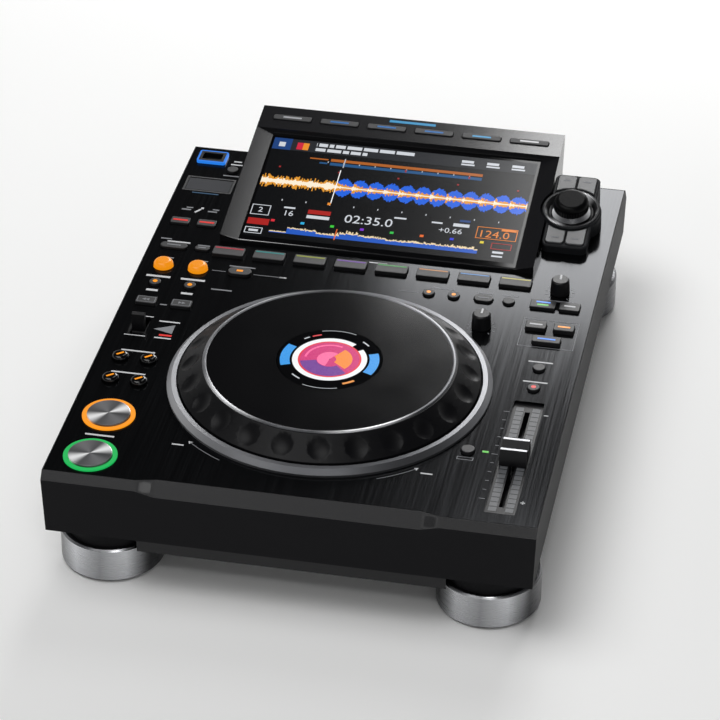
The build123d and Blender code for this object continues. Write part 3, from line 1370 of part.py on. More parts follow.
def power_rocker():
    """The rocker, drawn pressed in at its upper end."""
    half = ROCKER_HEIGHT / 2
    face = ROCKER_DEPTH / 2 + ROCKER_PROUD
    outline = [
        (-ROCKER_DEPTH / 2, -half / 2),
        (0, -half),
        (face, -half),
        (face - ROCKER_DISH, 0),
        (face, half),
        (0, half),
        (-ROCKER_DEPTH / 2, half / 2),
    ]
    rocker = profile(outline, -ROCKER_WIDTH / 2, ROCKER_WIDTH / 2)
    pins = ROCKER_WIDTH + 2 * (ROCKER_SIDE_GAP + ROCKER_PIN_LENGTH - PIN_END)
    rocker += across(0, 0, 0, ROCKER_PIN_RADIUS, pins)
    return Pos(SWITCH_X, rocker_y, socket_z) * Rot(ROCKER_TILT, 0, 0) * rocker


def sockets():
    """The sockets: USB and SD on the deck, network, USB, audio, mains and power switch body at the back."""
    on_deck = [usb_socket(), sd_frame()]
    behind = [lan_socket(), usb_b_socket(), inlet(), switch_frame()]
    jacks = [audio_jack(x) for x in audio_places()]
    return Compound(children=on_deck + behind + jacks)


# Switch boards
flange_under = plate_under - KEY_PLAY - KEY_FLANGE
switch_top = flange_under - KEY_TRAVEL - SWITCH_CLEARANCE
board_top = switch_top - SWITCH_BODY
big_switch_top = switch_top - GUIDE_DROP


def switch_board(x0, x1, y0, y1, switches, standoffs):
    """A board hung from the deck by standoffs, with a switch under each key."""
    board = block(x0, x1, y0, y1, board_top - BOARD_THICKNESS, board_top)
    half = SWITCH_SIZE / 2
    for x, y, switch_z in switches:
        board += block(x - half, x + half, y - half, y + half, board_top, switch_z)
    for x, y in standoffs:
        board += post(x, y, STANDOFF_RADIUS, board_top, plate_under)
    return board


def switches_of(*names):
    """The switch places under the keys of these nodes."""
    return [(key.x, key.y, switch_top) for name in names for key in KEYS[name]]


def circuit_boards():
    """The switch boards under the deck, the two knobs' pots and the main board in the belly pan."""
    gutter = sum(pair_x) / 2
    left_x = (left + BOARD_EDGE, left + BOARD_EDGE + BOARD_WIDTH)
    right_board_x = (right - BOARD_EDGE - BOARD_WIDTH, right - BOARD_EDGE)
    beat_y = front + BEAT_ROW
    jump_y = front + JUMP_ROW
    time_y = hood_front - TIME_BEFORE_HOOD
    mode_y = hood_front + MODE_AFTER_HOOD
    left_rear = switch_board(
        *left_x, jump_y - BOARD_MARGIN, mode_y + BOARD_MARGIN,
        switches_of("loop_in_button", "loop_out_button", "beat_loop_keys", "beat_jump_keys", "time_keys",
                    "quantize_slip_keys"),
        [(gutter, (beat_y + jump_y) / 2), (gutter, (beat_y + loop_y) / 2), (gutter, (time_y + mode_y) / 2)],
    )
    search_y = front + SEARCH_ROW
    track_y = front + TRACK_ROW
    big_switches = [(big_x, y, big_switch_top) for y in big_buttons.values()]
    left_front = switch_board(
        *left_x, front + PLAY_ROW - BOARD_MARGIN, track_y + BOARD_MARGIN,
        switches_of("search_keys") + big_switches,
        [(big_x, (search_y + track_y) / 2), (big_x, front + (PLAY_ROW + CUE_ROW) / 2)],
    )
    between = (hot_cue_y - HOT_CUE_DEPTH / 2 + loop_y + SMALL_KEY / 2) / 2
    middle = switch_board(
        HOOD_WALL - hood_half, hood_half - HOOD_WALL,
        loop_y - SWITCH_SIZE / 2 - BOARD_TRIM, hot_cue_y + HOT_CUE_DEPTH / 2 + BOARD_TRIM,
        switches_of("reloop_key", "cue_memory_keys", *[f"hot_cue_key_{i + 1}" for i in range(HOT_CUE_COUNT)]),
        [(hot_cue_x0 + hot_cue_pitch * i, between) for i in HOT_CUE_STANDOFFS],
    )
    range_y = front + TEMPO_RANGE_ROW
    master_y = front + MASTER_TEMPO_ROW
    right_board = switch_board(
        *right_board_x, master_y - BOARD_MARGIN, loop_y + BOARD_MARGIN,
        switches_of("jog_mode_keys", "sync_keys", "tempo_keys"),
        [(right_x, (master_y + range_y) / 2), (right_x, (range_y + sync_y) / 2),
         (right_x, (sync_y + SYNC_PITCH + loop_y) / 2)],
    )
    pots = [pot(x, y) for x, y in knobs.values()]
    return Compound(children=[left_rear, left_front, middle, right_board, main_board()] + pots)


def main_board():
    """The main board on standoffs in the belly pan, with its heat spreader and a rear connector row."""
    pan_floor = PAN_CLEARANCE + PAN_WALL
    board_z = pan_floor + MAIN_BOARD_LIFT
    x0 = MAIN_BOARD_X - MAIN_BOARD_WIDTH / 2
    x1 = MAIN_BOARD_X + MAIN_BOARD_WIDTH / 2
    half = MAIN_BOARD_LENGTH / 2
    board = block(x0, x1, -half, half, board_z, board_z + BOARD_THICKNESS)
    inset = 2 * STANDOFF_RADIUS
    for x in (x0 + inset, x1 - inset):
        for y in (-half + inset, 0.0, half - inset):
            board += post(x, y, STANDOFF_RADIUS, pan_floor, board_z)
    board_face = board_z + BOARD_THICKNESS
    for y in (-half / 2, 0.0, half / 2):
        chip = Pos(MAIN_BOARD_X, y, board_face + CHIP_HEIGHT / 2) * Box(CHIP_SIZE, CHIP_SIZE, CHIP_HEIGHT)
        board += chip
    return board


def power_supply():
    """The power supply in its vented cage on the floor of the belly pan."""
    pan_floor = PAN_CLEARANCE + PAN_WALL
    cage = block(
        SUPPLY_X - SUPPLY_WIDTH / 2, SUPPLY_X + SUPPLY_WIDTH / 2,
        SUPPLY_Y - SUPPLY_LENGTH / 2, SUPPLY_Y + SUPPLY_LENGTH / 2,
        pan_floor, pan_floor + SUPPLY_HEIGHT,
    )
    return chamfer(top_face_edges(cage), PAN_WALL)


PIECES = {
    "case_shell": case_shell(),
    "deck_plate": deck_plate(),
    "base_plate": base_plate(),
    "belly_pan": belly_pan(),
    "foot_shells": Compound(children=[foot_shell(x, y) for x, y in foot_places]),
    "foot_pads": Compound(children=[foot_pad(x, y) for x, y in foot_places]),
    "screws": screws(),
    "rear_panel": rear_panel(),
    "sockets": sockets(),
    "power_rocker": power_rocker(),
    "display_housing": display_housing(),
    "display_glass": display_glass(),
    "lcd_module": lcd_module(),
    "menu_keys": menu_key_strip(),
    "light_guides": light_guides(),
    "jog_bezel": jog_bezel(),
    "jog_base": jog_base(),
    "jog_hub": jog_hub(),
    "jog_ring": jog_ring(),
    "jog_platter": jog_platter(),
    "jog_trim_ring": jog_trim_ring(),
    "jog_display": jog_display(),
    "jog_display_window": jog_display_window(),
    "selector_pod": selector_pod(),
    "selector_keys": selector_keys(),
    "selector_shaft": selector_shaft(),
    "selector_knob": selector_knob(),
    "fader_bed": fader_bed(),
    "tempo_fader_cap": tempo_fader_cap(),
    "lever_bracket": lever_bracket(),
    "direction_lever": direction_lever(),
    "sd_door": sd_door(),
    "circuit_boards": circuit_boards(),
    "power_supply": power_supply(),
}
for name, y in big_buttons.items():
    PIECES[name] = big_button(y)
for name, (x, y) in knobs.items():
    PIECES[name] = knob(x, y)
for name, keys in KEYS.items():
    PIECES[name] = Compound(children=[deck_key(key, DOMED.get(name, KEY_EDGE)) for key in keys])

os.makedirs("parts", exist_ok=True)
for name, piece in PIECES.items():
    export_step(piece, f"parts/{name}.step")
print(f"{len(PIECES)} nodes, {width:.1f} x {depth:.1f} x {top:.1f} mm, screen tilt {screen_tilt:.1f} degrees")
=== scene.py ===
import json
import math
from typing import NamedTuple

import bmesh
import bpy
from mathutils import Matrix, Vector


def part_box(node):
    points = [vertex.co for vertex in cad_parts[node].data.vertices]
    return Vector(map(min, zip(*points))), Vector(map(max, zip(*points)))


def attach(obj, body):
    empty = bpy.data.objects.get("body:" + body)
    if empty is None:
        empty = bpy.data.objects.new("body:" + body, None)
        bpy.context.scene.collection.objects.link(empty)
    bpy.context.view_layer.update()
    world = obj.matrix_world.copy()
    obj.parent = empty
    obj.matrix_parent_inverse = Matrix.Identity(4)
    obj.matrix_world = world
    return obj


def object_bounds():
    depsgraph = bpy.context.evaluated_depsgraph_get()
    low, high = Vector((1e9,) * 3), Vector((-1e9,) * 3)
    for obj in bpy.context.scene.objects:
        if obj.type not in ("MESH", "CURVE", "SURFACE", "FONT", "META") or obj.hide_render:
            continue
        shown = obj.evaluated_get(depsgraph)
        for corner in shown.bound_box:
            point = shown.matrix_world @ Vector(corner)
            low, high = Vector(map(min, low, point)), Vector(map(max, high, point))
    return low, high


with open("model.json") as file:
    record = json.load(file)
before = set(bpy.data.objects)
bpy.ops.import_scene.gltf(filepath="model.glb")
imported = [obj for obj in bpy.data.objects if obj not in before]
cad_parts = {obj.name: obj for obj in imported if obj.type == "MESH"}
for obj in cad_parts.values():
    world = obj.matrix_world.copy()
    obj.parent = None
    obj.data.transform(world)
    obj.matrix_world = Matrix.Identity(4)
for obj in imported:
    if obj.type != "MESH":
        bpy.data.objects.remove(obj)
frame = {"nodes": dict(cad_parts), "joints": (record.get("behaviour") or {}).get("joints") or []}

bl_info = {
    "name": "DJ media player",
    "version": (1, 0, 0),
    "blender": (4, 5, 0),
    "location": "3D View > Sidebar > Player",
    "description": "Finishes, prints and lights a table-top media player around its solids",
    "category": "Add Mesh",
}

MM = 0.001
KEY_LIP = 1.2  # a key's flange under the deck, beyond its cap
CAD_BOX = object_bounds()


def linear(code):
    """An sRGB hex colour as linear red, green and blue."""
    channels = [int(code[i:i + 2], 16) / 255 for i in (0, 2, 4)]
    return tuple(c / 12.92 if c <= 0.04045 else ((c + 0.055) / 1.055) ** 2.4 for c in channels)


class Cap(NamedTuple):
    """A key cap on the deck: its middle, its size and the height of its top, in millimetres."""
    x: float
    y: float
    wide: float
    deep: float
    top: float


class Seat(NamedTuple):
    """A flat place for print: a frame whose Z points out of the surface, and its size in millimetres."""
    place: Matrix
    wide: float
    deep: float


def solid_boxes(node):
    """The lowest and highest corners of a CAD node's solids, from the back row forwards and left to right."""
    bm = bmesh.new()
    bm.from_mesh(frame["nodes"][node].data)
    bmesh.ops.remove_doubles(bm, verts=bm.verts, dist=1e-6)
    unseen = set(bm.verts)
    boxes = []
    while unseen:
        reach = [unseen.pop()]
        points = []
        while reach:
            vert = reach.pop()
            points.append(vert.co / MM)
            near = [edge.other_vert(vert) for edge in vert.link_edges]
            fresh = [other for other in near if other in unseen]
            unseen.difference_update(fresh)
            reach.extend(fresh)
        low = Vector([min(p[i] for p in points) for i in range(3)])
        high = Vector([max(p[i] for p in points) for i in range(3)])
        boxes.append((low, high))
    bm.free()
    return sorted(boxes, key=lambda box: (-round(box[0].y + box[1].y), box[0].x))


def caps(node, lip=KEY_LIP):
    """The caps of a CAD node's keys."""
    found = []
    for low, high in solid_boxes(node):
        middle = (low + high) / 2
        size = high - low
        found.append(Cap(middle.x, middle.y, size.x - 2 * lip, size.y - 2 * lip, high.z))
    return found


def top_face(node):
    """The seat on the largest flat faces of a CAD node that look upwards."""
    mesh = frame["nodes"][node].data
    facing = {}
    for face in mesh.polygons:
        if face.normal.z > 0.5:
            key = tuple(round(c, 2) for c in face.normal)
            facing[key] = facing.get(key, Vector()) + face.normal * face.area
    normal = max(facing.values(), key=lambda total: total.length).normalized()
    along = Vector((1, 0, 0))
    up = normal.cross(along)
    points = [
        mesh.vertices[i].co
        for face in mesh.polygons if face.normal.dot(normal) > 0.9999
        for i in face.vertices
    ]
    height = max(p.dot(normal) for p in points)
    points = [p for p in points if p.dot(normal) > height - 5e-5]
    across = [p.dot(along) for p in points]
    deep = [p.dot(up) for p in points]
    middle = along * (min(across) + max(across)) / 2 + up * (min(deep) + max(deep)) / 2 + normal * height
    place = Matrix((along, up, normal)).transposed().to_4x4()
    place.translation = middle
    return Seat(place, (max(across) - min(across)) / MM, (max(deep) - min(deep)) / MM)


# Places on the player, in millimetres
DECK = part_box("deck_plate")[1].z / MM
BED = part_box("fader_bed")[1].z / MM
BEZEL_LOW, BEZEL_HIGH = (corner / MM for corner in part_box("jog_bezel"))
JOG = (BEZEL_LOW + BEZEL_HIGH) / 2
JOG_RADIUS = (BEZEL_HIGH.x - BEZEL_LOW.x) / 2
WINDOW_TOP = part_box("jog_display_window")[1].z / MM
REAR_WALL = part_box("case_shell")[1].y / MM
GLASS = top_face("display_glass")
BROW = top_face("menu_keys")
POD = top_face("selector_keys")
ON_DECK = Matrix.Translation((0, 0, DECK * MM))
ON_BED = Matrix.Translation((0, 0, BED * MM))
HOT_CUES = [f"hot_cue_key_{i + 1}" for i in range(8)]
KNOBS = ("vinyl_speed_knob", "jog_adjust_knob")

# Sizes of small pieces, in millimetres where nothing else is said
PRINT = 0.1  # thickness of print and small lamps
FILM = 0.06  # thickness of one layer of a lit drawing
SCREEN_SIDE = 2.0  # dark edge of the glass at each side of its picture
SCREEN_END = 4.55  # the same behind and in front of it
PORT_FRAME = 3.5  # width of the lit frame round the port
PORT_RIM = 1.4  # what its sleeve leaves bare
SLEEVE_WALL = 0.1  # thickness of the sleeve
DISH_RADIUS = 19.5  # of the spun part of the selector's dish
SKIRT = 2.4  # how far the selector's skirt spreads
RIBS = 40  # round the selector
FADER_END = 50.0  # from the middle of the fader to its last tick
KNOB_TICKS = 11  # round a small knob
TICK_RADIUS = 9.6  # of the middles of these ticks
KNOB_TURN = 140  # of a small knob each way, in degrees
ARROW_GAP = 5.0  # from the jog wheel to the arcs in front of it
ARROW_SWEEP = 14.0  # of these arcs, in degrees
ARROW_STARTS = ((-1, 229.0), (1, 297.0))  # the side of each arc and its start, in degrees
JACK_SIDE = -50.0  # the audio jacks lie below this x
JACK_FACE = 3.3  # radius of a jack's insulator
JACK_HOLE = 1.6  # radius of its hole

# Patterns
STREAK_LENGTH = 150  # of a brushed streak, in widths
MARK_LENGTH = 50.0  # of a turning mark on a foot, in millimetres
NOISE_SPAN = {"From Min": 0.3, "From Max": 0.7}  # where most of a noise lies
RELIEF_DEPTH = 0.2  # of a grain, as a share of its width

# The lit screen
SCREEN_WIDE = GLASS.wide - 2 * SCREEN_SIDE
SCREEN_DEEP = GLASS.deep - 2 * SCREEN_END
PLAY_LINE = 0.283  # place of the play line across the screen
WAVE_PLACE = 0.44  # place of the large waveform down the screen
WAVE_STEP = 0.8  # width of one of its bars, in millimetres
BEAT = 11.8  # from beat to beat, in millimetres
OVERVIEW_LEFT = 0.09  # place of the small waveform across the screen
OVERVIEW_WIDE = 0.77  # its share of the screen's width
OVERVIEW_BARS = 170

# How the solids are smoothed
WELD_GAP = 1e-6  # in metres
SHARP_ANGLE = 28  # edges above this many degrees stay sharp
FLAT_WEIGHT = 80  # how far large faces set the shading, up to 100

# Which caps of a node a label stands by: each inner group gives one bar, at the group's middle
FIRST = ((0,),)
SECOND = ((1,),)
EACH = ((0,), (1,))
LAST_TWO = ((2,), (3,))
PAIR = ((0, 1),)
PAIRS = ((0, 1), (2, 3))

# Label bars: their keys, the bar's shift from them, its width and its depth, which is 0 for a thin line
WHITE_LABELS = (
    ("loop_in_button", FIRST, 0.0, -15.2, 17.6, 2.3),
    ("loop_out_button", FIRST, 0.0, -15.2, 17.6, 2.3),
    ("beat_loop_keys", EACH, 0.0, -9.4, 8.5, 2.4),
    ("reloop_key", FIRST, 31.5, 0.0, 5.0, 1.3),
    ("search_keys", PAIRS, 0.0, 10.0, 24.0, 1.5),
    ("tempo_keys", EACH, 0.0, 8.2, 17.0, 1.4),
    ("usb_stop_key", FIRST, 1.0, 9.0, 9.0, 1.5),
    ("usb_stop_key", FIRST, 1.0, 13.5, 6.0, 1.5),
    ("quantize_slip_keys", PAIR, 1.5, 21.0, 2.0, 2.0),
    ("direction_lever", FIRST, 0.0, 12.3, 15.0, 0.9),
    ("direction_lever", FIRST, 0.0, -12.3, 15.0, 0.9),
    ("direction_lever", FIRST, 20.0, 8.4, 15.0, 1.4),
    ("direction_lever", FIRST, 20.0, -12.3, 12.0, 1.4),
    ("tempo_fader_cap", FIRST, 13.2, FADER_END, 3.0, 0.9),
    ("tempo_fader_cap", FIRST, 13.2, -FADER_END, 3.0, 0.9),
    ("tempo_fader_cap", FIRST, 13.2, -FADER_END, 0.9, 3.0),
    ("time_keys", FIRST, 2.0, 6.6, 17.0, 1.5),
)
GREY_LABELS = (
    ("loop_in_button", FIRST, 0.0, 10.3, 10.0, 1.3),
    ("loop_out_button", FIRST, 0.0, 10.3, 10.0, 1.3),
    ("beat_jump_keys", PAIR, 0.0, -1.5, 5.0, 1.3),
    ("beat_loop_keys", SECOND, 23.0, 0.0, 15.0, 1.4),
    ("reloop_key", FIRST, 0.0, 8.2, 19.0, 1.3),
    ("reloop_key", FIRST, -15.5, 0.0, 10.0, 0.0),
    ("reloop_key", FIRST, 21.0, 0.0, 22.0, 0.0),
    ("cue_memory_keys", PAIR, 0.0, 8.3, 16.0, 1.4),
    ("cue_memory_keys", FIRST, -14.5, 0.0, 14.0, 0.0),
    ("cue_memory_keys", LAST_TWO, 0.0, 8.3, 11.0, 1.4),
    ("jog_mode_keys", PAIR, 0.0, 8.0, 22.0, 1.3),
    ("usb_stop_key", FIRST, 0.5, -7.6, 12.0, 1.3),
    ("quantize_slip_keys", EACH, 0.0, 17.5, 7.0, 1.6),
    ("quantize_slip_keys", EACH, 2.0, 20.5, 5.0, 1.4),
    ("time_keys", FIRST, -8.0, 9.6, 8.0, 1.3),
    ("time_keys", SECOND, 0.0, 5.2, 9.0, 1.2),
)

# Painted highlight and shade tones round a spun piece, from its left side through its front, its right side
# and its back
DISC_PAINTED_HIGHLIGHTS = (
    (0.0, "4A4A4C"), (0.1, "FAFAFA"), (0.2, "4C4C4E"), (0.38, "6C6C6E"), (0.5, "3A3A3C"), (0.6, "FAFAFA"),
    (0.7, "4C4C4E"), (0.86, "707072"), (1.0, "4A4A4C"),
)
DISH_PAINTED_HIGHLIGHTS = (
    (0.0, "101012"), (0.07, "18181A"), (0.16, "E0E0E2"), (0.24, "4A4A4C"), (0.34, "303032"),
    (0.44, "0E0E10"), (0.58, "0E0E10"), (0.68, "E0E0E2"), (0.77, "202022"), (1.0, "101012"),
)
TRIM_PAINTED_HIGHLIGHTS = (
    (0.0, "707174"), (0.05, "606164"), (0.13, "F0F1F3"), (0.2, "505154"), (0.26, "404144"), (0.34, "E8E9EB"),
    (0.41, "505154"), (0.47, "606164"), (0.63, "A0A1A4"), (0.72, "404144"), (0.78, "2A2A2C"),
    (0.88, "A0A1A4"), (1.0, "707174"),
)
BEZEL_PAINTED_HIGHLIGHTS = (
    (0.0, "B4B5B8"), (0.1, "B8B9BC"), (0.18, "8A8B8E"), (0.25, "606164"), (0.36, "606164"), (0.45, "808184"),
    (0.52, "8C8D90"), (0.62, "8C8D90"), (0.7, "5A5B5E"), (0.78, "2E2F31"), (0.87, "5A5B5E"), (1.0, "B4B5B8"),
)
# Painted reflection bands: shares of a foot's own colour, round it in the same order
FOOT_PAINTED_BANDS = (0.5, 0.2, 1.4, 0.7, 1.4, 0.2, 0.5, 0.2, 1.4, 0.7, 1.4, 0.2, 0.5)

# Colours of rows of lamps and of the jacks, from left to right
HOT_CUE_TONES = ("E0384F", "2BA8A8", "B4C22E", "8C4FCB", "3DB548", "E08A1C", "2C8BDC", "D6CB34")
CUE_SQUARE_TONES = ("D42E3A", "2FA9D8", "3CC43C", "7B36C9", "34B84A", "E0672A", "2E3BD0", "D8C430")
MENU_TONES = ("A9ABAE", "2B6FB5", "2B6FB5", "2B6FB5", "55A6D6", "D9DADC")
JACK_TONES = ("C9A24A", "B3262B", "D9D9D6")

# The stage, in metres
FLOOR_HALF = 6.0  # half of the floor's side
CAMERA_PLACE = (0.3843, -1.8978, 1.3607)
CAMERA_AIM = (0.004, 0.0, 0.05)
CAMERA_LENS = 165  # in millimetres

# Lamps: name, place, width and depth in metres, and power in watts
LAMPS = (
    ("overhead softbox", (-0.7, -0.4, 2.4), 2.0, 1.6, 36),
    ("rear softbox", (0.13, 1.85, 0.9), 0.84, 0.69, 21),
    ("high rear softbox", (-0.05, 1.85, 2.24), 0.4, 0.84, 6.8),
    ("front fill", (0.9, -2.4, 1.0), 1.8, 1.0, 4),
    ("front strip", (-0.4, -1.5, 1.8), 1.0, 0.3, 1),
    ("front spot", (0.38, -1.5, 1.75), 0.3, 0.3, 3.2),
)

# The jog display: each piece's name, tone, layer and arcs, as outer and inner radius, start and sweep
JOG_ART = (
    ("jog_white_ring", "E9EAEC", 0, ((25.5, 21.6, 56, 342),)),
    ("jog_red_rim", "D8243A", 0, ((21.6, 20.2, 0, 360),)),
    ("jog_blue_arcs", "1E8FDC", 0, ((33.8, 27.2, 157, 46), (33.8, 27.2, -23, 46))),
    ("jog_art_ground", "C81E6E", 0, ((20.2, 0.4, 0, 360),)),
    ("jog_art_purple", "6A2A8C", 1, ((20.2, 9.0, 196, 118),)),
    ("jog_art_orange", "F0862C", 1, ((15.5, 4.5, -38, 96),)),
    ("jog_art_pink", "F2689C", 2, ((8.6, 0.4, 60, 200), (17.5, 16.0, 70, 110))),
    ("jog_red_marks", "D8323A", 0, ((31.0, 29.8, 112, 12),)),
    ("jog_orange_marks", "E08A2C", 0, ((31.5, 29.6, -62, 16),)),
    ("jog_white_marks", "BFC3C8", 0, (
        (31.0, 30.0, 128, 8), (31.0, 30.0, 226, 14), (31.5, 30.5, 42, 12), (35.0, 34.6, 70, 40),
        (35.0, 34.6, 250, 40),
    )),
)


def colour(name, description, code):
    """A colour that a user can change."""
    return bpy.props.FloatVectorProperty(
        name=name, description=description, subtype="COLOR", size=3, min=0.0, max=1.0, default=linear(code)
    )


def length(name, description, millimetres):
    """A size that a user can change."""
    return bpy.props.FloatProperty(
        name=name, description=description, subtype="DISTANCE", unit="LENGTH", min=0.0, precision=5,
        default=millimetres * MM,
    )


class PlayerColours(bpy.types.PropertyGroup):
    """Colours of the player's finishes and lights."""
    case: colour("Case", "Moulded case and hood", "131315")
    deck: colour("Deck", "Hairline deck plate", "1F2022")
    pan: colour("Pan", "Powder coat of the pan and the rear panel", "18181A")
    silver: colour("Silver", "Feet, fader ridges and selector shaft", "B4B5B8")
    ring: colour("Jog ring", "Soft grip of the jog wheel", "0C0C0E")
    gloss: colour("Gloss", "Polished platter, search keys and selector", "070708")
    rubber: colour("Keys", "Rubber keys and pads", "151517")
    ink: colour("Ink", "White print", "C9CACC")
    dim_ink: colour("Dim ink", "Grey print", "77797D")
    door: colour("Card door", "Card door beside the hood", "3A3B3E")
    scale: colour("Fader scale", "Grey ruled plates of the fader", "5A5C5F")
    amber: colour("Amber", "Loop keys, cue light and key lamps", "FF9A12")
    green: colour("Green", "Play light", "0FB454")
    blue: colour("Blue", "Port light and lit words", "1E7BE6")
    red: colour("Red", "Lamps of the mode keys and the lever", "D8322E")


class PlayerSizes(bpy.types.PropertyGroup):
    """Sizes of the print and of the surface patterns."""
    streak: length("Hairline", "Width of one brushed streak, drawn coarse enough to show", 0.6)
    grain: length("Mould grain", "Spark-eroded grain of the moulded case", 0.5)
    turning: length("Turning mark", "Spacing of the turned rings on the feet", 0.8)
    line: length("Line", "Width of a printed line", 0.5)
    wave: length("Waveform", "Half height of the large waveform", 11.0)


def node_middle(node):
    """The middle of a CAD node's box, in metres."""
    low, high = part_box(node)
    return (low + high) / 2


def selector_axis():
    """The middle of the selector knob, in metres, and the direction it turns about."""
    turn = next(joint for joint in frame["joints"] if joint["child"] == "selector_knob")
    return Vector(turn["pos_m"]), Vector(turn["axis"]).normalized()


# Shapes


def add_box(bm, x, y, wide, deep, z=0.0, high=PRINT, turn=0.0):
    """A plate centred on (x, y) that stands on z, in millimetres."""
    place = Matrix.Translation(Vector((x, y, z + high / 2)) * MM)
    size = Matrix.Diagonal(Vector((wide, deep, high)) * MM).to_4x4()
    bmesh.ops.create_cube(bm, size=1.0, matrix=place @ Matrix.Rotation(math.radians(turn), 4, "Z") @ size)


def add_disc(bm, x, y, radius, z=0.0, high=PRINT, segments=48, turn=0.0):
    """A disc, or with few segments a regular prism such as an arrow head."""
    place = Matrix.Translation(Vector((x, y, z + high / 2)) * MM)
    place = place @ Matrix.Rotation(math.radians(turn), 4, "Z")
    bmesh.ops.create_cone(
        bm, cap_ends=True, cap_tris=False, segments=segments,
        radius1=radius * MM, radius2=radius * MM, depth=high * MM, matrix=place,
    )


def add_ring(bm, x, y, outer, inner, z=0.0, high=PRINT, start=0.0, sweep=360.0, lean=0.0):
    """A ring, or an arc of one, swept from a rectangle whose outer side may lean inwards."""
    middle = Vector((x, y, z)) * MM
    turn = Matrix.Translation(middle) @ Matrix.Rotation(math.radians(start), 4, "Z")
    corners = ((inner, 0), (outer, 0), (outer - lean, high), (inner, high))
    verts = [bm.verts.new(turn @ (Vector((r, 0, h)) * MM)) for r, h in corners]
    whole = sweep >= 360
    if whole:
        geom = verts + [bm.edges.new((verts[i - 1], verts[i])) for i in range(4)]
    else:
        face = bm.faces.new(verts)
        geom = [face, *face.edges, *face.verts]
    bmesh.ops.spin(
        bm, geom=geom, cent=middle, axis=(0, 0, 1), angle=math.radians(sweep),
        steps=max(6, round(sweep / 3)), use_merge=whole, use_duplicate=False,
    )


def add_prism(bm, points, z=0.0, high=PRINT):
    """A flat shape with straight sides, raised by its thickness."""
    face = bm.faces.new([bm.verts.new(Vector((x, y, z)) * MM) for x, y in points])
    raised = bmesh.ops.extrude_face_region(bm, geom=[face])["geom"]
    top = [item for item in raised if isinstance(item, bmesh.types.BMVert)]
    bmesh.ops.translate(bm, verts=top, vec=(0, 0, high * MM))


def add_frame(bm, x, y, wide, deep, line, z=0.0, high=PRINT):
    """A rectangular outline of printed lines."""
    for side in (-1, 1):
        add_box(bm, x, y + side * (deep - line) / 2, wide, line, z, high)
        add_box(bm, x + side * (wide - line) / 2, y, line, deep - 2 * line, z, high)


def add_figures(bm, figures, x, y, height, z=0.0, high=PRINT):
    """Figures of a given height, centred on (x, y)."""
    text = bpy.data.curves.new("figures", "FONT")
    text.body = figures
    text.size = height * MM / 0.7
    text.align_x = "CENTER"
    text.align_y = "CENTER"
    text.extrude = high * MM / 2
    text.resolution_u = 3
    holder = bpy.data.objects.new("figures", text)
    mesh = bpy.data.meshes.new_from_object(holder)
    mesh.transform(Matrix.Translation(Vector((x, y, z + high / 2)) * MM))
    bm.from_mesh(mesh)
    bpy.data.objects.remove(holder)
    bpy.data.curves.remove(text)
    bpy.data.meshes.remove(mesh)


def make_piece(name, material, body, shapes, place=None, **layer):
    """Makes a piece of simple shapes, each a function and its arguments, painted and riding on a body."""
    bm = bmesh.new()
    for shape, *args in shapes:
        shape(bm, *args, **layer)
    if place is not None:
        bmesh.ops.transform(bm, matrix=place, verts=bm.verts)
    bmesh.ops.remove_doubles(bm, verts=bm.verts, dist=1e-7)
    bmesh.ops.recalc_face_normals(bm, faces=bm.faces)
    mesh = bpy.data.meshes.new(name)
    bm.to_mesh(mesh)
    bm.free()
    mesh.materials.append(material)
    piece = bpy.data.objects.new(name, mesh)
    bpy.context.collection.objects.link(piece)
    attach(piece, body)


def spoke(x, y, radius, degrees):
    """The point at a radius and an angle round (x, y)."""
    angle = math.radians(degrees)
    return x + radius * math.cos(angle), y + radius * math.sin(angle)


def label_bars(labels):
    """The printed bars of a table of labels, as shapes."""
    shapes = []
    for node, groups, x, y, wide, deep in labels:
        keys = caps(node)
        for group in groups:
            middle_x = sum(keys[i].x for i in group) / len(group)
            middle_y = sum(keys[i].y for i in group) / len(group)
            shapes.append((add_box, middle_x + x, middle_y + y, wide, deep or line_width()))
    return shapes


# Materials


def add_node(tree, kind, inputs=None, stops=None, drives=None, **settings):
    """Adds a node: inputs given as sockets are linked, stops fill its ramp, and it may drive a socket."""
    made = tree.nodes.new("ShaderNode" + kind)
    for key, value in settings.items():
        setattr(made, key, value)
    for key, value in (inputs or {}).items():
        if isinstance(value, bpy.types.NodeSocket):
            tree.links.new(value, made.inputs[key])
        else:
            made.inputs[key].default_value = value
    if stops:
        elements = made.color_ramp.elements
        elements.remove(elements[-1])
        for i, (place, tone) in enumerate(stops):
            stop = elements.new(place) if i else elements[0]
            stop.position = place
            stop.color = (*tone, 1)
    if drives:
        tree.links.new(next(out for out in made.outputs if out.enabled), drives)
    return made


def start_material(name, base, metallic, roughness, sheen=0.5, sockets=None):
    """A material with constants on its shader's sockets; they and the coordinates come with it."""
    made = bpy.data.materials.new(name)
    made.use_nodes = True
    tree = made.node_tree
    shader = tree.nodes["Principled BSDF"].inputs
    shader["Base Color"].default_value = (*base, 1.0)
    shader["Metallic"].default_value = metallic
    shader["Roughness"].default_value = roughness
    shader["Specular IOR Level"].default_value = sheen
    for key, value in (sockets or {}).items():
        shader[key].default_value = value
    return made, tree, shader, add_node(tree, "TexCoord").outputs


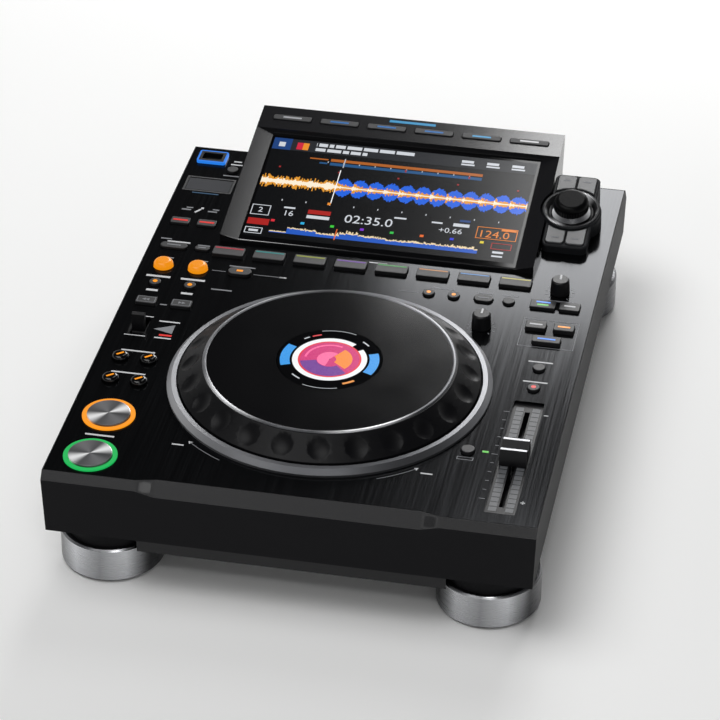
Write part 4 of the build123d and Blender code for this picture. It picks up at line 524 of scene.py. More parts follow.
def fine_finish(
    name, base, metallic, roughness, grain, spread=0.06, relief=0.0, sheen=0.5, sockets=None,
    detail=3.0, depth=RELIEF_DEPTH,
):
    """A finish with a fine grain in millimetres: its gloss varies over it, and its surface may follow it."""
    made, tree, shader, where = start_material(name, base, metallic, roughness, sheen, sockets)
    pattern = {"Vector": where["Object"], "Scale": 1 / (grain * MM), "Detail": detail}
    noise = add_node(tree, "TexNoise", pattern).outputs[0]
    if spread:
        limits = {"To Min": max(roughness - spread, 0.02), "To Max": roughness + spread}
        add_node(tree, "MapRange", {"Value": noise, **NOISE_SPAN, **limits}, drives=shader["Roughness"])
    if relief:
        height = {"Height": noise, "Strength": relief, "Distance": grain * MM * depth}
        add_node(tree, "Bump", height, drives=shader["Normal"])
    return made


def moulded_abs(name, base, grain, roughness=0.5, sheen=0.1):
    """ABS moulded in a spark-eroded tool."""
    # A fine grain breaks up the highlights, so that the faces look satin and not polished.
    return fine_finish(
        name, base, 0.0, roughness, grain / MM, 0.0, 0.12, sheen, {"IOR": 1.46}, detail=2.0, depth=0.1
    )


def lit_film(name, tone, strength=1.0, roughness=0.3):
    """A backlit polyester film: it glows evenly in its own colour behind a slightly grained face."""
    dark = tuple(c * 0.1 for c in tone)
    glow = {"Emission Color": (*tone, 1), "Emission Strength": strength}
    return fine_finish(name, dark, 0.0, roughness, 0.4, roughness * 0.3, 0.0, 0.3, glow)


def hairline_aluminium(base, streak):
    """Aluminium brushed from front to back and anodised black."""
    # The long fine streaks draw the highlights out along the player.
    made, tree, shader, where = start_material("black hairline aluminium", base, 0.85, 0.3, 0.25)
    scale = (1 / streak, 1 / (STREAK_LENGTH * streak), 1 / streak)
    stretch = add_node(tree, "Mapping", {"Vector": where["Object"], "Scale": scale}).outputs[0]
    streaks = add_node(tree, "TexNoise", {"Vector": stretch, "Scale": 1.0, "Detail": 3.0}).outputs[0]
    limits = {"To Min": 0.11, "To Max": 0.17}
    add_node(tree, "MapRange", {"Value": streaks, **NOISE_SPAN, **limits}, drives=shader["Roughness"])
    stops = [(place, [c * share for c in base]) for place, share in ((0.25, 0.7), (0.75, 1.35))]
    add_node(tree, "ValToRGB", {"Fac": streaks}, stops, shader["Base Color"])
    return made


def turned_aluminium_painted_bands(base, turning):
    """Bare aluminium turned on a lathe and left satin."""
    # Upright light and dark reflection bands are painted into the colour by the way each face looks; the
    # turning marks round the foot vary only its gloss.
    made, tree, shader, where = start_material("turned aluminium with painted bands", base, 1.0, 0.3)
    side = add_node(tree, "TexGradient", {"Vector": where["Normal"]}, gradient_type="RADIAL").outputs["Fac"]
    last = len(FOOT_PAINTED_BANDS) - 1
    stops = [(i / last, [c * share for c in base]) for i, share in enumerate(FOOT_PAINTED_BANDS)]
    add_node(tree, "ValToRGB", {"Fac": side}, stops, shader["Base Color"])
    scale = (1 / (MARK_LENGTH * MM), 1 / (MARK_LENGTH * MM), 1 / turning)
    squash = add_node(tree, "Mapping", {"Vector": where["Object"], "Scale": scale}).outputs[0]
    marks = add_node(tree, "TexNoise", {"Vector": squash, "Scale": 1.0, "Detail": 2.0}).outputs[0]
    limits = {"To Min": 0.22, "To Max": 0.36}
    add_node(tree, "MapRange", {"Value": marks, **NOISE_SPAN, **limits}, drives=shader["Roughness"])
    return made


def spun_metal_painted_highlights(name, middle, tones, metallic=0.35, roughness=0.35):
    """Metal spun with an abrasive, so that the marks lie round the middle."""
    # Painted highlights: bright wedges that face each other are painted into the colour round the middle, and
    # the stretches between them are painted dark.
    stops = [(place, linear(code)) for place, code in tones]
    made, tree, shader, where = start_material(name, stops[0][1], metallic, roughness)
    centred = add_node(tree, "Mapping", {"Vector": where["Object"], "Location": -middle}).outputs[0]
    angle = add_node(tree, "TexGradient", {"Vector": centred}, gradient_type="RADIAL").outputs["Fac"]
    ramp = add_node(tree, "ValToRGB", {"Fac": angle}, stops, shader["Base Color"])
    ramp.color_ramp.interpolation = "EASE"
    return made


def lit_guides(amber, green, blue):
    """Translucent acrylic with lamps behind it, coloured by its place along the player."""
    # The glow hides the acrylic's own colour, and the surface keeps a gloss.
    dark = (0.02, 0.02, 0.02)
    glow = {"Emission Strength": 1.0}
    made, tree, shader, where = start_material("lit acrylic guides", dark, 0.0, 0.25, sockets=glow)
    cue = caps("cue_button", 0.0)[0]
    play = caps("play_button", 0.0)[0]
    split = (cue.y - cue.deep / 2 + play.y + play.deep / 2) / 2 * MM
    glass_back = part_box("display_glass")[1].y
    front = CAD_BOX[0].y
    back = CAD_BOX[1].y
    axes = add_node(tree, "SeparateXYZ", {"Vector": where["Object"]}).outputs
    along = add_node(tree, "MapRange", {"Value": axes["Y"], "From Min": front, "From Max": back}).outputs[0]
    starts = ((front, green), (split, amber), (0.0, blue), (glass_back, linear("1C86B8")))
    stops = [((y - front) / (back - front), tone) for y, tone in starts]
    ramp = add_node(tree, "ValToRGB", {"Fac": along}, stops, shader["Emission Color"])
    ramp.color_ramp.interpolation = "CONSTANT"
    return made


def socket_plastic(base):
    """Moulded nylon sockets, with nickel barrels on the audio jacks."""
    # Everything is dull black apart from the bright barrels that stand out of the panel.
    made, tree, shader, where = start_material("nylon sockets with nickel barrels", base, 0.0, 0.45)
    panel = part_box("rear_panel")[1].y + 1e-5
    axes = add_node(tree, "SeparateXYZ", {"Vector": where["Object"]}).outputs
    outside = add_node(tree, "Math", {0: axes["Y"], 1: panel}, operation="GREATER_THAN").outputs[0]
    at_jacks = add_node(tree, "Math", {0: axes["X"], 1: JACK_SIDE * MM}, operation="LESS_THAN").outputs[0]
    both = {0: outside, 1: at_jacks}
    barrel = add_node(tree, "Math", both, drives=shader["Metallic"], operation="MULTIPLY")
    tones = {"Factor": barrel.outputs[0], "A": (*base, 1), "B": (*linear("B8B4A8"), 1)}
    add_node(tree, "Mix", tones, drives=shader["Base Color"], data_type="RGBA")
    return made


class Finishes:
    """The player's materials, made once."""

    def __init__(self, colours, sizes):
        black_abs = moulded_abs("satin black ABS", colours.case, sizes.grain)
        # The hood, its brow and the bevel along the front come from a polished tool, so they catch the lamps.
        hood_abs = moulded_abs("smooth black hood ABS", colours.case, sizes.grain, 0.2, 0.4)
        self.brow = moulded_abs("polished black brow ABS", colours.case, sizes.grain, 0.15, 1.2)
        self.bevel = moulded_abs("smooth black bevel ABS", colours.case, sizes.grain, 0.24, 0.5)
        # Silicone rubber keys are matte, with a faint tooth that softens their sheen.
        self.rubber = fine_finish("black silicone rubber", colours.rubber, 0.0, 0.5, 0.35, 0.08, 0.15)
        # Polished polycarbonate is glossy black, and broad finger marks dull it here and there.
        gloss = fine_finish("polished black polycarbonate", colours.gloss, 0.0, 0.12, 40, 0.012, 0.0, 0.38)
        # Cover glass with a black print behind it mirrors sharply, apart from faint smears.
        glass = fine_finish("black backed cover glass", linear("060607"), 0.0, 0.06, 40, 0.015, 0.0, 0.3)
        # Aluminium, blasted and clear anodised, has a soft silver sheen with a fine sparkle.
        self.silver = fine_finish("satin anodised aluminium", colours.silver, 0.85, 0.42, 0.3, 0.08, 0.1)
        # Soft-touch paint on the jog ring is dark and feels like suede, so it has almost no gloss.
        soft = fine_finish("soft-touch grip paint", colours.ring, 0.0, 0.4, 0.3, 0.06, 0.12, 0.13)
        # Polished chrome on the selector's skirt mirrors the pale horizon at both sides.
        self.chrome = fine_finish("polished chrome", linear("E8E9EB"), 1.0, 0.14, 0.4, 0.04)
        # Black anodised metal, spun in the dish, with two light wedges painted into its colour as highlights.
        self.dish = spun_metal_painted_highlights("spun black of the selector dish with painted highlights", selector_axis()[0], DISH_PAINTED_HIGHLIGHTS)
        # A powder coat on steel has an orange peel, which gives a dull, slightly uneven sheen.
        powder = fine_finish(
            "powder coated steel", colours.pan, 0.0, 0.55, 1.0, 0.0, 0.1, 0.4, detail=2.0, depth=0.05
        )
        # Glass filled nylon knobs are matte, with a sandy grain.
        self.knob = fine_finish("glass filled nylon", linear("0E0E10"), 0.0, 0.38, 0.3, 0.08, 0.2, 0.25)
        # The selector's dome is black nylon, polished but dull beside the platter.
        dome = fine_finish("polished black nylon", colours.gloss, 0.0, 0.3, 0.5, 0.05, 0.0, 0.06)
        # Black oxide keeps the steel screws dark, with a low metal sheen.
        screws = fine_finish("black oxide steel", linear("2A2A2C"), 1.0, 0.4, 0.5, 0.1)
        # Glass epoxy boards inside the case show green, with a woven unevenness.
        boards = fine_finish("glass epoxy board", linear("1C5A38"), 0.0, 0.45, 0.8, 0.1, 0.2)
        # Screen printed ink lies flat and dull on the metal.
        self.ink = fine_finish("white screen print", colours.ink, 0.0, 0.6, 0.3, 0.1)
        self.dim_ink = fine_finish("grey screen print", colours.dim_ink, 0.0, 0.6, 0.3, 0.1)
        self.scale = fine_finish("grey ruled plate", colours.scale, 0.0, 0.5, 0.4, 0.1, 0.1)
        self.amber = lit_film("amber lamp", colours.amber)
        self.blue = lit_film("blue lamp", colours.blue)
        self.red = lit_film("red lamp", colours.red)
        self.green = lit_film("green lamp", linear("53B83A"))
        # The play and cue discs are spun steel with painted highlight wedges.
        play_disc = spun_metal_painted_highlights("spun steel of the play disc with painted highlights", node_middle("play_button"), DISC_PAINTED_HIGHLIGHTS)
        cue_disc = spun_metal_painted_highlights("spun steel of the cue disc with painted highlights", node_middle("cue_button"), DISC_PAINTED_HIGHLIGHTS)
        used = (
            (black_abs, "case_shell base_plate jog_display jog_hub lever_bracket"),
            (hood_abs, "display_housing"),
            (hairline_aluminium(colours.deck, sizes.streak), "deck_plate"),
            (powder, "belly_pan rear_panel jog_base lcd_module"),
            (turned_aluminium_painted_bands(colours.silver, sizes.turning), "foot_shells"),
            (screws, "screws"),
            (socket_plastic(linear("161618")), "sockets"),
            (glass, "display_glass jog_display_window"),
            (lit_guides(colours.amber, colours.green, colours.blue), "light_guides"),
            # The jog bezel's light and dark wedges are painted highlights and painted shade.
            (spun_metal_painted_highlights("spun aluminium of the jog bezel with painted highlights", JOG * MM, BEZEL_PAINTED_HIGHLIGHTS, 0.85, 0.42), "jog_bezel"),
            # The trim ring's bright and dark wedges are painted highlights and painted shade too.
            (spun_metal_painted_highlights("spun chrome of the jog trim with painted highlights", JOG * MM, TRIM_PAINTED_HIGHLIGHTS, 0.7, 0.38), "jog_trim_ring"),
            (soft, "jog_ring"),
            (gloss, "jog_platter search_keys"),
            (moulded_abs("dark grey pod ABS", linear("202123"), sizes.grain, 0.4), "selector_pod"),
            (dome, "selector_knob"),
            (moulded_abs("grey pod key ABS", linear("3A3B3D"), sizes.grain, 0.3, 1.0), "selector_keys"),
            (self.silver, "selector_shaft power_supply"),
            (self.knob, "fader_bed tempo_fader_cap direction_lever power_rocker"),
            (self.knob, "vinyl_speed_knob jog_adjust_knob"),
            (moulded_abs("dark grey door ABS", colours.door, sizes.grain), "sd_door"),
            (boards, "circuit_boards"),
            # A lamp behind an amber cap lights the whole dome.
            (lit_film("lit amber cap", colours.amber, 0.8), "loop_in_button loop_out_button"),
            (play_disc, "play_button"),
            (cue_disc, "cue_button"),
        )
        self.by_node = {node: finish for finish, nodes in used for node in nodes.split()}


FINISH = {}


def finishes():
    """The materials for the scene's colours and sizes."""
    scene = bpy.context.scene
    if "made" not in FINISH:
        FINISH["made"] = Finishes(scene.player_colours, scene.player_sizes)
    return FINISH["made"]


def line_width():
    """The width of a printed line in millimetres."""
    return bpy.context.scene.player_sizes.line / MM


class PLAYER_OT_casing(bpy.types.Operator):
    """Paints the solids and smooths their round faces"""
    bl_idname = "player.casing"
    bl_label = "Casing"

    def execute(self, context):
        made = finishes()
        middle, axis = selector_axis()
        brow = BROW.place.col[2].to_3d()

        def in_dish(face):
            near = (face.center - middle).cross(axis).length < DISH_RADIUS * MM
            return near and face.normal.dot(axis) > 0.3

        # Second finishes, and the test that picks the faces for them
        second = {
            "case_shell": (made.bevel, lambda face: face.normal.y < -0.5 and face.normal.z > 0.5),
            "display_housing": (made.brow, lambda face: face.normal.dot(brow) > 0.999),
            # The dish faces take the spun black with painted highlight wedges.
            "selector_pod": (made.dish, in_dish),
        }
        for node, piece in frame["nodes"].items():
            mesh = piece.data
            mesh.materials.clear()
            mesh.materials.append(made.by_node.get(node, made.rubber))
            mesh.shade_smooth()
            if node in second:
                finish, takes = second[node]
                mesh.materials.append(finish)
                for face in mesh.polygons:
                    face.material_index = int(takes(face))
            weld = piece.modifiers.new("join facets", "WELD")
            weld.merge_threshold = WELD_GAP
            split = piece.modifiers.new("keep corners sharp", "EDGE_SPLIT")
            split.split_angle = math.radians(SHARP_ANGLE)
            flat = piece.modifiers.new("keep flats flat", "WEIGHTED_NORMAL")
            flat.weight = FLAT_WEIGHT
        return {"FINISHED"}


class PLAYER_OT_deck_print(bpy.types.Operator):
    """Prints the lines, ticks and label bars on the deck"""
    bl_idname = "player.deck_print"
    bl_label = "Deck print"

    def execute(self, context):
        made = finishes()
        white = label_bars(WHITE_LABELS)
        grey = label_bars(GREY_LABELS)
        self.key_signs(white, grey)
        self.slide_marks(grey)
        self.knob_ticks(grey)
        self.jog_arrows(white, grey)
        make_piece("deck_white_print", made.ink, "chassis", white, ON_DECK)
        make_piece("deck_grey_print", made.dim_ink, "chassis", grey, ON_DECK)
        return {"FINISHED"}

    def key_signs(self, white, grey):
        """The bars between keys, a slash over the mode keys, and the frames by the sync and reset keys."""
        cue = caps("cue_button")[0]
        play = caps("play_button")[0]
        white.append((add_box, cue.x, (cue.y + play.y) / 2, 20.0, 1.7))
        row = caps(HOT_CUES[4])[0]
        white.append((add_box, row.x - row.wide / 2, row.y + 8.6, 13.0, 1.3))
        left, right = caps("quantize_slip_keys")
        white.append((add_box, (left.x + right.x) / 2 - 1, left.y + 17.0, 1.6, 6.0, 0.0, PRINT, -35))
        sync = caps("sync_keys")
        low_x = sync[0].x - sync[0].wide / 2
        high_x = sync[1].x + sync[1].wide / 2
        low_y = sync[2].y - sync[2].deep / 2
        high_y = sync[0].y + sync[0].deep / 2
        middle = ((low_x + high_x) / 2, (low_y + high_y) / 2 + 1.5)
        grey.append((add_frame, *middle, high_x - low_x + 5, high_y - low_y + 9, line_width()))
        reset = caps("tempo_reset_key")[0]
        grey.append((add_frame, reset.x - 0.5, reset.y - 8.6, 11.0, 3.4, line_width()))

    def slide_marks(self, grey):
        """A wedge beside the lever, and ticks along the fader, longer at its middle and its ends."""
        lever = caps("direction_lever")[0]
        wedge = ((11, -2), (25, -6), (25, 5))
        grey.append((add_prism, [(lever.x + x, lever.y + y) for x, y in wedge]))
        fader = caps("tempo_fader_cap")[0]
        for i in range(-5, 6):
            wide = 2.4 if i % 5 else 4.0
            grey.append((add_box, fader.x - 13.6, fader.y + i * FADER_END / 5, wide, line_width()))

    def knob_ticks(self, grey):
        """Ticks round the two small knobs."""
        for node in KNOBS:
            knob = caps(node, 0.0)[0]
            for i in range(KNOB_TICKS):
                angle = 90 + KNOB_TURN - 2 * KNOB_TURN * i / (KNOB_TICKS - 1)
                middle = spoke(knob.x, knob.y, TICK_RADIUS, angle)
                grey.append((add_box, *middle, 1.8, line_width(), 0.0, PRINT, angle))

    def jog_arrows(self, white, grey):
        """Arcs with arrow heads in front of the jog wheel, left and right."""
        near = JOG_RADIUS + ARROW_GAP
        for side, start in ARROW_STARTS:
            arc = (JOG.x, JOG.y, near + line_width(), near, 0.0, PRINT, start, ARROW_SWEEP)
            grey.append((add_ring, *arc))
            tip = start if side < 0 else start + ARROW_SWEEP
            x, y = spoke(JOG.x, JOG.y, near + 0.3, tip)
            white.append((add_disc, x, y, 1.8, 0.0, PRINT, 3, tip + 90 * (side - 1)))
            white.append((add_box, x + side * 7.5, y - 4.0, 8.0, 1.3))


class PLAYER_OT_key_marks(bpy.types.Operator):
    """Adds the lamps and marks that move with the keys"""
    bl_idname = "player.key_marks"
    bl_label = "Key marks"

    def execute(self, context):
        made = finishes()
        for i, (node, code) in enumerate(zip(HOT_CUES, HOT_CUE_TONES), 1):
            cap = caps(node)[0]
            lamp = lit_film(f"hot cue lamp {i}", linear(code), 0.45)
            strip = (add_box, cap.x, cap.y + cap.deep * 0.3, cap.wide - 2.4, 1.3, cap.top)
            make_piece(f"hot_cue_light_{i}", lamp, node, [strip])
        self.dots("beat_loop_keys", made.amber, 1.7, (0, 1))
        self.dots("cue_memory_keys", made.amber, 1.5, (0, 1))
        self.dots("tempo_keys", made.red, 1.7, (1,))
        self.bars("quantize_slip_keys", made.red, 0.78, 1.9)
        self.bars("time_keys", made.dim_ink, 0.5, 1.2)
        slashes = [(add_box, cap.x, cap.y, 1.4, 5.6, cap.top, PRINT, -50) for cap in caps("search_keys")]
        make_piece("search_key_lamps", made.amber, "search_keys", slashes)
        arrows = []
        for side, cap in zip((1, -1), caps("beat_jump_keys")):
            for step in (-1.3, 1.3):
                arrows.append((add_disc, cap.x + step, cap.y, 1.7, cap.top, PRINT, 3, 90 * side))
            arrows.append((add_frame, cap.x, cap.y, cap.wide - 1.6, cap.deep - 1.6, 0.4, cap.top))
        make_piece("beat_jump_arrows", made.dim_ink, "beat_jump_keys", arrows)
        self.words(made)
        return {"FINISHED"}

    def dots(self, node, material, radius, which):
        """A round lamp in the middle of some caps."""
        keys = [caps(node)[i] for i in which]
        discs = [(add_disc, cap.x, cap.y, radius, cap.top, PRINT, 24) for cap in keys]
        make_piece(f"{node}_lamps", material, node, discs)

    def bars(self, node, material, share, deep):
        """A word bar across each cap."""
        boxes = [(add_box, cap.x, cap.y, cap.wide * share, deep, cap.top) for cap in caps(node)]
        make_piece(f"{node}_bars", material, node, boxes)

    def words(self, made):
        """The lit and printed words on single keys."""
        delete_width = caps("cue_memory_keys")[2].wide - 6
        rows = (
            ("reloop_lamp", "reloop_key", 0, made.amber, 0.0, 4.6, 2.2),
            ("jog_mode_blue_bar", "jog_mode_keys", 0, made.blue, 1.8, 10.0, 1.6),
            ("jog_mode_green_bar", "jog_mode_keys", 0, made.green, -1.6, 8.0, 1.6),
            ("jog_mode_white_bar", "jog_mode_keys", 1, made.ink, 0.0, 8.0, 1.6),
            ("sync_white_bar", "sync_keys", 0, made.ink, 0.0, 9.0, 1.6),
            ("sync_amber_bar", "sync_keys", 1, made.amber, 0.0, 8.6, 1.6),
            ("sync_blue_bar", "sync_keys", 2, made.blue, 0.0, 12.5, 1.6),
            ("memory_delete_bar", "cue_memory_keys", 2, made.dim_ink, 0.0, delete_width, 1.2),
        )
        for name, node, which, material, shift, wide, deep in rows:
            cap = caps(node)[which]
            make_piece(name, material, node, [(add_box, cap.x, cap.y + shift, wide, deep, cap.top)])


class PLAYER_OT_deck_lamps(bpy.types.Operator):
    """Adds the small lamps in the deck and the sleeve in the port"""
    bl_idname = "player.deck_lamps"
    bl_label = "Deck lamps"

    def execute(self, context):
        made = finishes()
        reset = caps("tempo_reset_key")[0]
        door = caps("sd_door", 0.0)[0]
        lever = caps("direction_lever", 0.0)[0]
        dim_blue = lit_film("dim blue lamp", linear("2C4A63"))
        lamps = (
            ("tempo_reset_lamp", made.green, reset.x + 11.6, reset.y + 1.4, 4.2, 2.0),
            ("card_lamp", dim_blue, door.x, door.y - door.deep / 2 - 4.6, 20.0, 1.2),
            ("direction_lamp", made.red, lever.x + 21, lever.y - 8.6, 9.0, 1.9),
        )
        for name, material, *strip in lamps:
            make_piece(name, material, "chassis", [(add_box, *strip)], ON_DECK)
        self.port_sleeve(made)
        return {"FINISHED"}

    def port_sleeve(self, made):
        """The black sleeve in the port: it leaves only the outer rim of the lit frame bare."""
        # From the back, the guides are the status strip, the port's frame and the two button rings.
        low, high = solid_boxes("light_guides")[1]
        middle = (low + high) / 2
        well = high - low - Vector((PORT_FRAME, PORT_FRAME, 0)) * 2
        cover = PORT_FRAME - PORT_RIM
        brim = (middle.x, middle.y, well.x + 2 * cover, well.y + 2 * cover, cover + SLEEVE_WALL, high.z)
        wall = (middle.x, middle.y, well.x, well.y, SLEEVE_WALL, low.z, high.z - low.z)
        make_piece("port_sleeve", made.knob, "chassis", [(add_frame, *brim), (add_frame, *wall)])


class PLAYER_OT_fader(bpy.types.Operator):
    """Adds the fader's ruled bed, the bright ridges of its cap and the pointers of the small knobs"""
    bl_idname = "player.fader"
    bl_label = "Fader and knobs"

    def execute(self, context):
        made = finishes()
        cap = caps("tempo_fader_cap", 0.0)[0]
        plates = []
        ridges = []
        for side in (-1, 1):
            for i in range(-11, 12):
                plates.append((add_box, cap.x + side * 5.6, cap.y + i * 5.2, 5.2, 4.4))
            ridges.append((add_box, cap.x, cap.y + side * cap.deep * 0.3, cap.wide - 0.6, 1.9, cap.top, 0.25))
        make_piece("fader_scale", made.scale, "chassis", plates, ON_BED)
        make_piece("fader_cap_ridges", made.silver, "tempo_fader_cap", ridges)
        for node in KNOBS:
            knob = caps(node, 0.0)[0]
            pointer = (add_box, knob.x, knob.y + knob.deep * 0.2, 1.3, knob.deep * 0.42, knob.top)
            make_piece(f"{node}_pointer", made.ink, node, [pointer])
        return {"FINISHED"}


# The lit screen: places are shares of its width from the left and of its depth from its upper edge


def at(across, down):
    """A point of the screen, in millimetres from its middle."""
    return (across - 0.5) * SCREEN_WIDE, (0.5 - down) * SCREEN_DEEP


def bar(left, right, top, bottom):
    """A bar between two places across and two places down."""
    middle = at((left + right) / 2, (top + bottom) / 2)
    return add_box, *middle, (right - left) * SCREEN_WIDE, (bottom - top) * SCREEN_DEEP


def outline(left, right, top, bottom, line=0.6):
    """The outline of such a bar."""
    return add_frame, *bar(left, right, top, bottom)[1:], line


def figures(text, across, down, height):
    """Figures round a point of the screen."""
    return add_figures, text, *at(across, down), height


def light(name, tone, shapes, level=1):
    """A lit drawing on one of the layers over the glass."""
    film = lit_film("screen " + name.replace("_", " "), linear(tone), roughness=0.18)
    make_piece("screen_" + name, film, "chassis", shapes, GLASS.place, z=FILM * level, high=FILM)


def uneven(i, seed):
    """A repeatable uneven value from 0 to 1 for the waveform's bars."""
    return math.modf(abs(math.sin(i * 12.9898 + seed * 78.233)) * 4375.85)[0]


class PLAYER_OT_screen(bpy.types.Operator):
    """Draws the display: header, phase bars, waveform, figures and overview"""
    bl_idname = "player.screen"
    bl_label = "Display"

    def execute(self, context):
        light("ground", "050608", [bar(0, 1, 0, 1)], 0)
        light("header", "24262A", [bar(0.0, 1.0, 0.0, 0.115)])
        light("icon_box", "1D3F78", [bar(0.0, 0.07, 0.0, 0.115), bar(0.77, 0.81, 0.635, 0.655)], 2)
        light("thumbnail", "C7263F", [bar(0.092, 0.115, 0.03, 0.1)], 2)
        light("thumbnail_corner", "E08A2A", [bar(0.115, 0.137, 0.03, 0.1)], 2)
        self.white_words()
        self.phase_bars()
        self.waveform(context.scene.player_sizes.wave / MM)
        self.bottom_rows()
        self.overview()
        return {"FINISHED"}

    def white_words(self):
        """Word bars of the header, the figures of the lower rows and the white boxes."""
        words = [bar(0.023, 0.047, 0.04, 0.085)]
        title = (0.165, 0.174, 0.214, 0.238, 0.282, 0.345, 0.406, 0.47, 0.545)
        artist = (0.165, 0.21, 0.27, 0.3, 0.345, 0.37)
        for starts, top, bottom in ((title, 0.018, 0.05), (artist, 0.068, 0.098)):
            words += [bar(left, right - 0.007, top, bottom) for left, right in zip(starts, starts[1:])]
        for left in (0.72, 0.815, 0.91):
            words += [bar(left, left + 0.045, 0.04, 0.065), bar(left, left + 0.05, 0.075, 0.09)]
        words += [bar(0.118, 0.16, 0.685, 0.7), bar(0.21, 0.295, 0.745, 0.775), bar(0.53, 0.575, 0.675, 0.69)]
        words += [bar(0.67, 0.71, 0.68, 0.695), bar(0.75, 0.81, 0.675, 0.705), bar(0.015, 0.05, 0.935, 0.955)]
        words += [bar(0.915, 0.955, 0.905, 0.925), bar(0.915, 0.955, 0.945, 0.96)]
        words += [outline(0.0, 0.07, 0.69, 0.79), outline(0.0, 0.065, 0.915, 0.975)]
        words += [figures("2", 0.035, 0.74, 5.2), figures("16", 0.14, 0.75, 5.6)]
        words += [figures("02:35.0", 0.44, 0.745, 8.6), figures("+0.66", 0.745, 0.755, 5.4)]
        words += [bar(0.28 + 0.09 * i, 0.2835 + 0.09 * i, 0.615, 0.63) for i in range(-2, 8)]
        light("white_words", "C8CCD2", words, 3)

    def phase_bars(self):
        """Two thin bars with ticks below the header."""
        light("phase_orange", "A85C22", [bar(0.155, 0.225, 0.168, 0.18), bar(0.235, 0.81, 0.162, 0.188)])
        light("phase_blue", "24517E", [bar(0.195, 0.225, 0.205, 0.22), bar(0.235, 0.81, 0.2, 0.228)])
        ticks = [bar(0.225 + 0.0595 * i, 0.229 + 0.0595 * i, 0.192, 0.205) for i in range(10)]
        light("phase_ticks", "B4B8BE", ticks + [bar(0.286, 0.29, 0.15, 0.24)], 2)
        reds = [bar(left, left + 0.006, 0.198, 0.222) for left in (0.52, 0.76)]
        reds += [bar(left, left + 0.007, 0.285, 0.3) for left in (0.05, 0.275, 0.5, 0.725, 0.95)]
        light("red_ticks", "9C2B2B", reds, 3)

    def waveform(self, half):
        """The large waveform: warm to the left of the play line, blue with warm cores to its right."""
        tones = {"blue": "1F5FD6", "warm": "D9922F", "pale": "F3E6CF"}
        waves = {wave: [] for wave in tones}
        count = int(SCREEN_WIDE / WAVE_STEP)
        for i in range(count):
            across = (i + 0.5) / count
            beat = (across - PLAY_LINE) * SCREEN_WIDE % BEAT / BEAT
            pulse = math.sin(math.pi * beat) ** 0.7
            rough = uneven(i, 1)
            core = uneven(i, 2)
            heights = {
                "blue": 0.36 + 0.44 * pulse + 0.2 * rough * pulse,
                "warm": 0.12 + 0.34 * (1 - beat) * rough + 0.1 * rough,
                "pale": 0.05 + 0.5 * max(0.0, 0.5 - beat) * core,
            }
            if across < PLAY_LINE:
                heights = {
                    "warm": 0.26 + 0.34 * pulse * rough + 0.12 * rough,
                    "pale": 0.14 + 0.26 * pulse * core,
                }
            for wave, share in heights.items():
                waves[wave].append((add_box, *at(across, WAVE_PLACE), WAVE_STEP, 2 * half * share))
        for level, (wave, tone) in enumerate(tones.items(), 1):
            light(f"wave_{wave}", tone, waves[wave], level)
        line = (add_box, *at(PLAY_LINE, WAVE_PLACE), 0.7, 0.34 * SCREEN_DEEP)
        light("play_line", "F2F2F2", [line], 4)
        light("play_mark", "E58A2C", [(add_box, *at(PLAY_LINE - 0.005, 0.615), 2.4, 2.6)], 4)

    def bottom_rows(self):
        """The red and orange boxes and the eight cue squares."""
        red = [bar(0.21, 0.295, 0.69, 0.73), bar(0.0, 0.08, 0.825, 0.885), outline(0.905, 0.98, 0.825, 0.885)]
        light("red_boxes", "A3221F", red, 2)
        orange = [outline(0.84, 0.99, 0.68, 0.795), bar(0.93, 0.985, 0.682, 0.705)]
        light("tempo_box", "D97B28", [*orange, figures("124.0", 0.905, 0.75, 7.4)], 3)
        for i, code in enumerate(CUE_SQUARE_TONES):
            left = 0.085 + 0.111 * i
            light(f"cue_square_{i + 1}", code, [bar(left, left + 0.014, 0.82, 0.842)], 3)

    def overview(self):
        """The small waveform of the whole track along the lower edge."""
        blue = []
        warm = []
        step = OVERVIEW_WIDE * SCREEN_WIDE / OVERVIEW_BARS
        for i in range(OVERVIEW_BARS):
            part = i / OVERVIEW_BARS
            x, low = at(OVERVIEW_LEFT + OVERVIEW_WIDE * (i + 0.5) / OVERVIEW_BARS, 0.945)
            tall = 0.9 if part < 0.08 else 3.4 + 3.4 * uneven(int(part * 9), 5)
            tall *= 0.75 + 0.25 * uneven(i, 3)
            crest = 0.8 + 2.6 * uneven(int(part * 7), 6) * uneven(i, 4)
            blue.append((add_box, x, low + tall / 2, step, tall))
            warm.append((add_box, x, low + tall + crest / 2, step, crest))
        light("overview_blue", "2456B8", blue)
        light("overview_warm", "E5CFA6", warm)
        light("overview_mark", "D9642A", [(add_box, *at(0.335, 0.905), 0.8, 12.0)], 2)


class PLAYER_OT_hood_marks(bpy.types.Operator):
    """Adds the words on the menu keys and the dividers between them"""
    bl_idname = "player.hood_marks"
    bl_label = "Hood marks"

    def execute(self, context):
        for i, (cap, code) in enumerate(zip(caps("menu_keys"), MENU_TONES), 1):
            lamp = lit_film(f"menu key lamp {i}", linear(code), 0.8)
            word = (add_box, cap.x, 0.0, 14.0, 1.7)
            make_piece(f"menu_key_word_{i}", lamp, "menu_keys", [word], BROW.place)
        lines = [(add_box, BROW.wide * (i - 1) * 0.33 - 17.0, -0.2, 0.8, 2.4, -0.95) for i in range(3)]
        make_piece("menu_dividers", finishes().dim_ink, "chassis", lines, BROW.place)
        return {"FINISHED"}


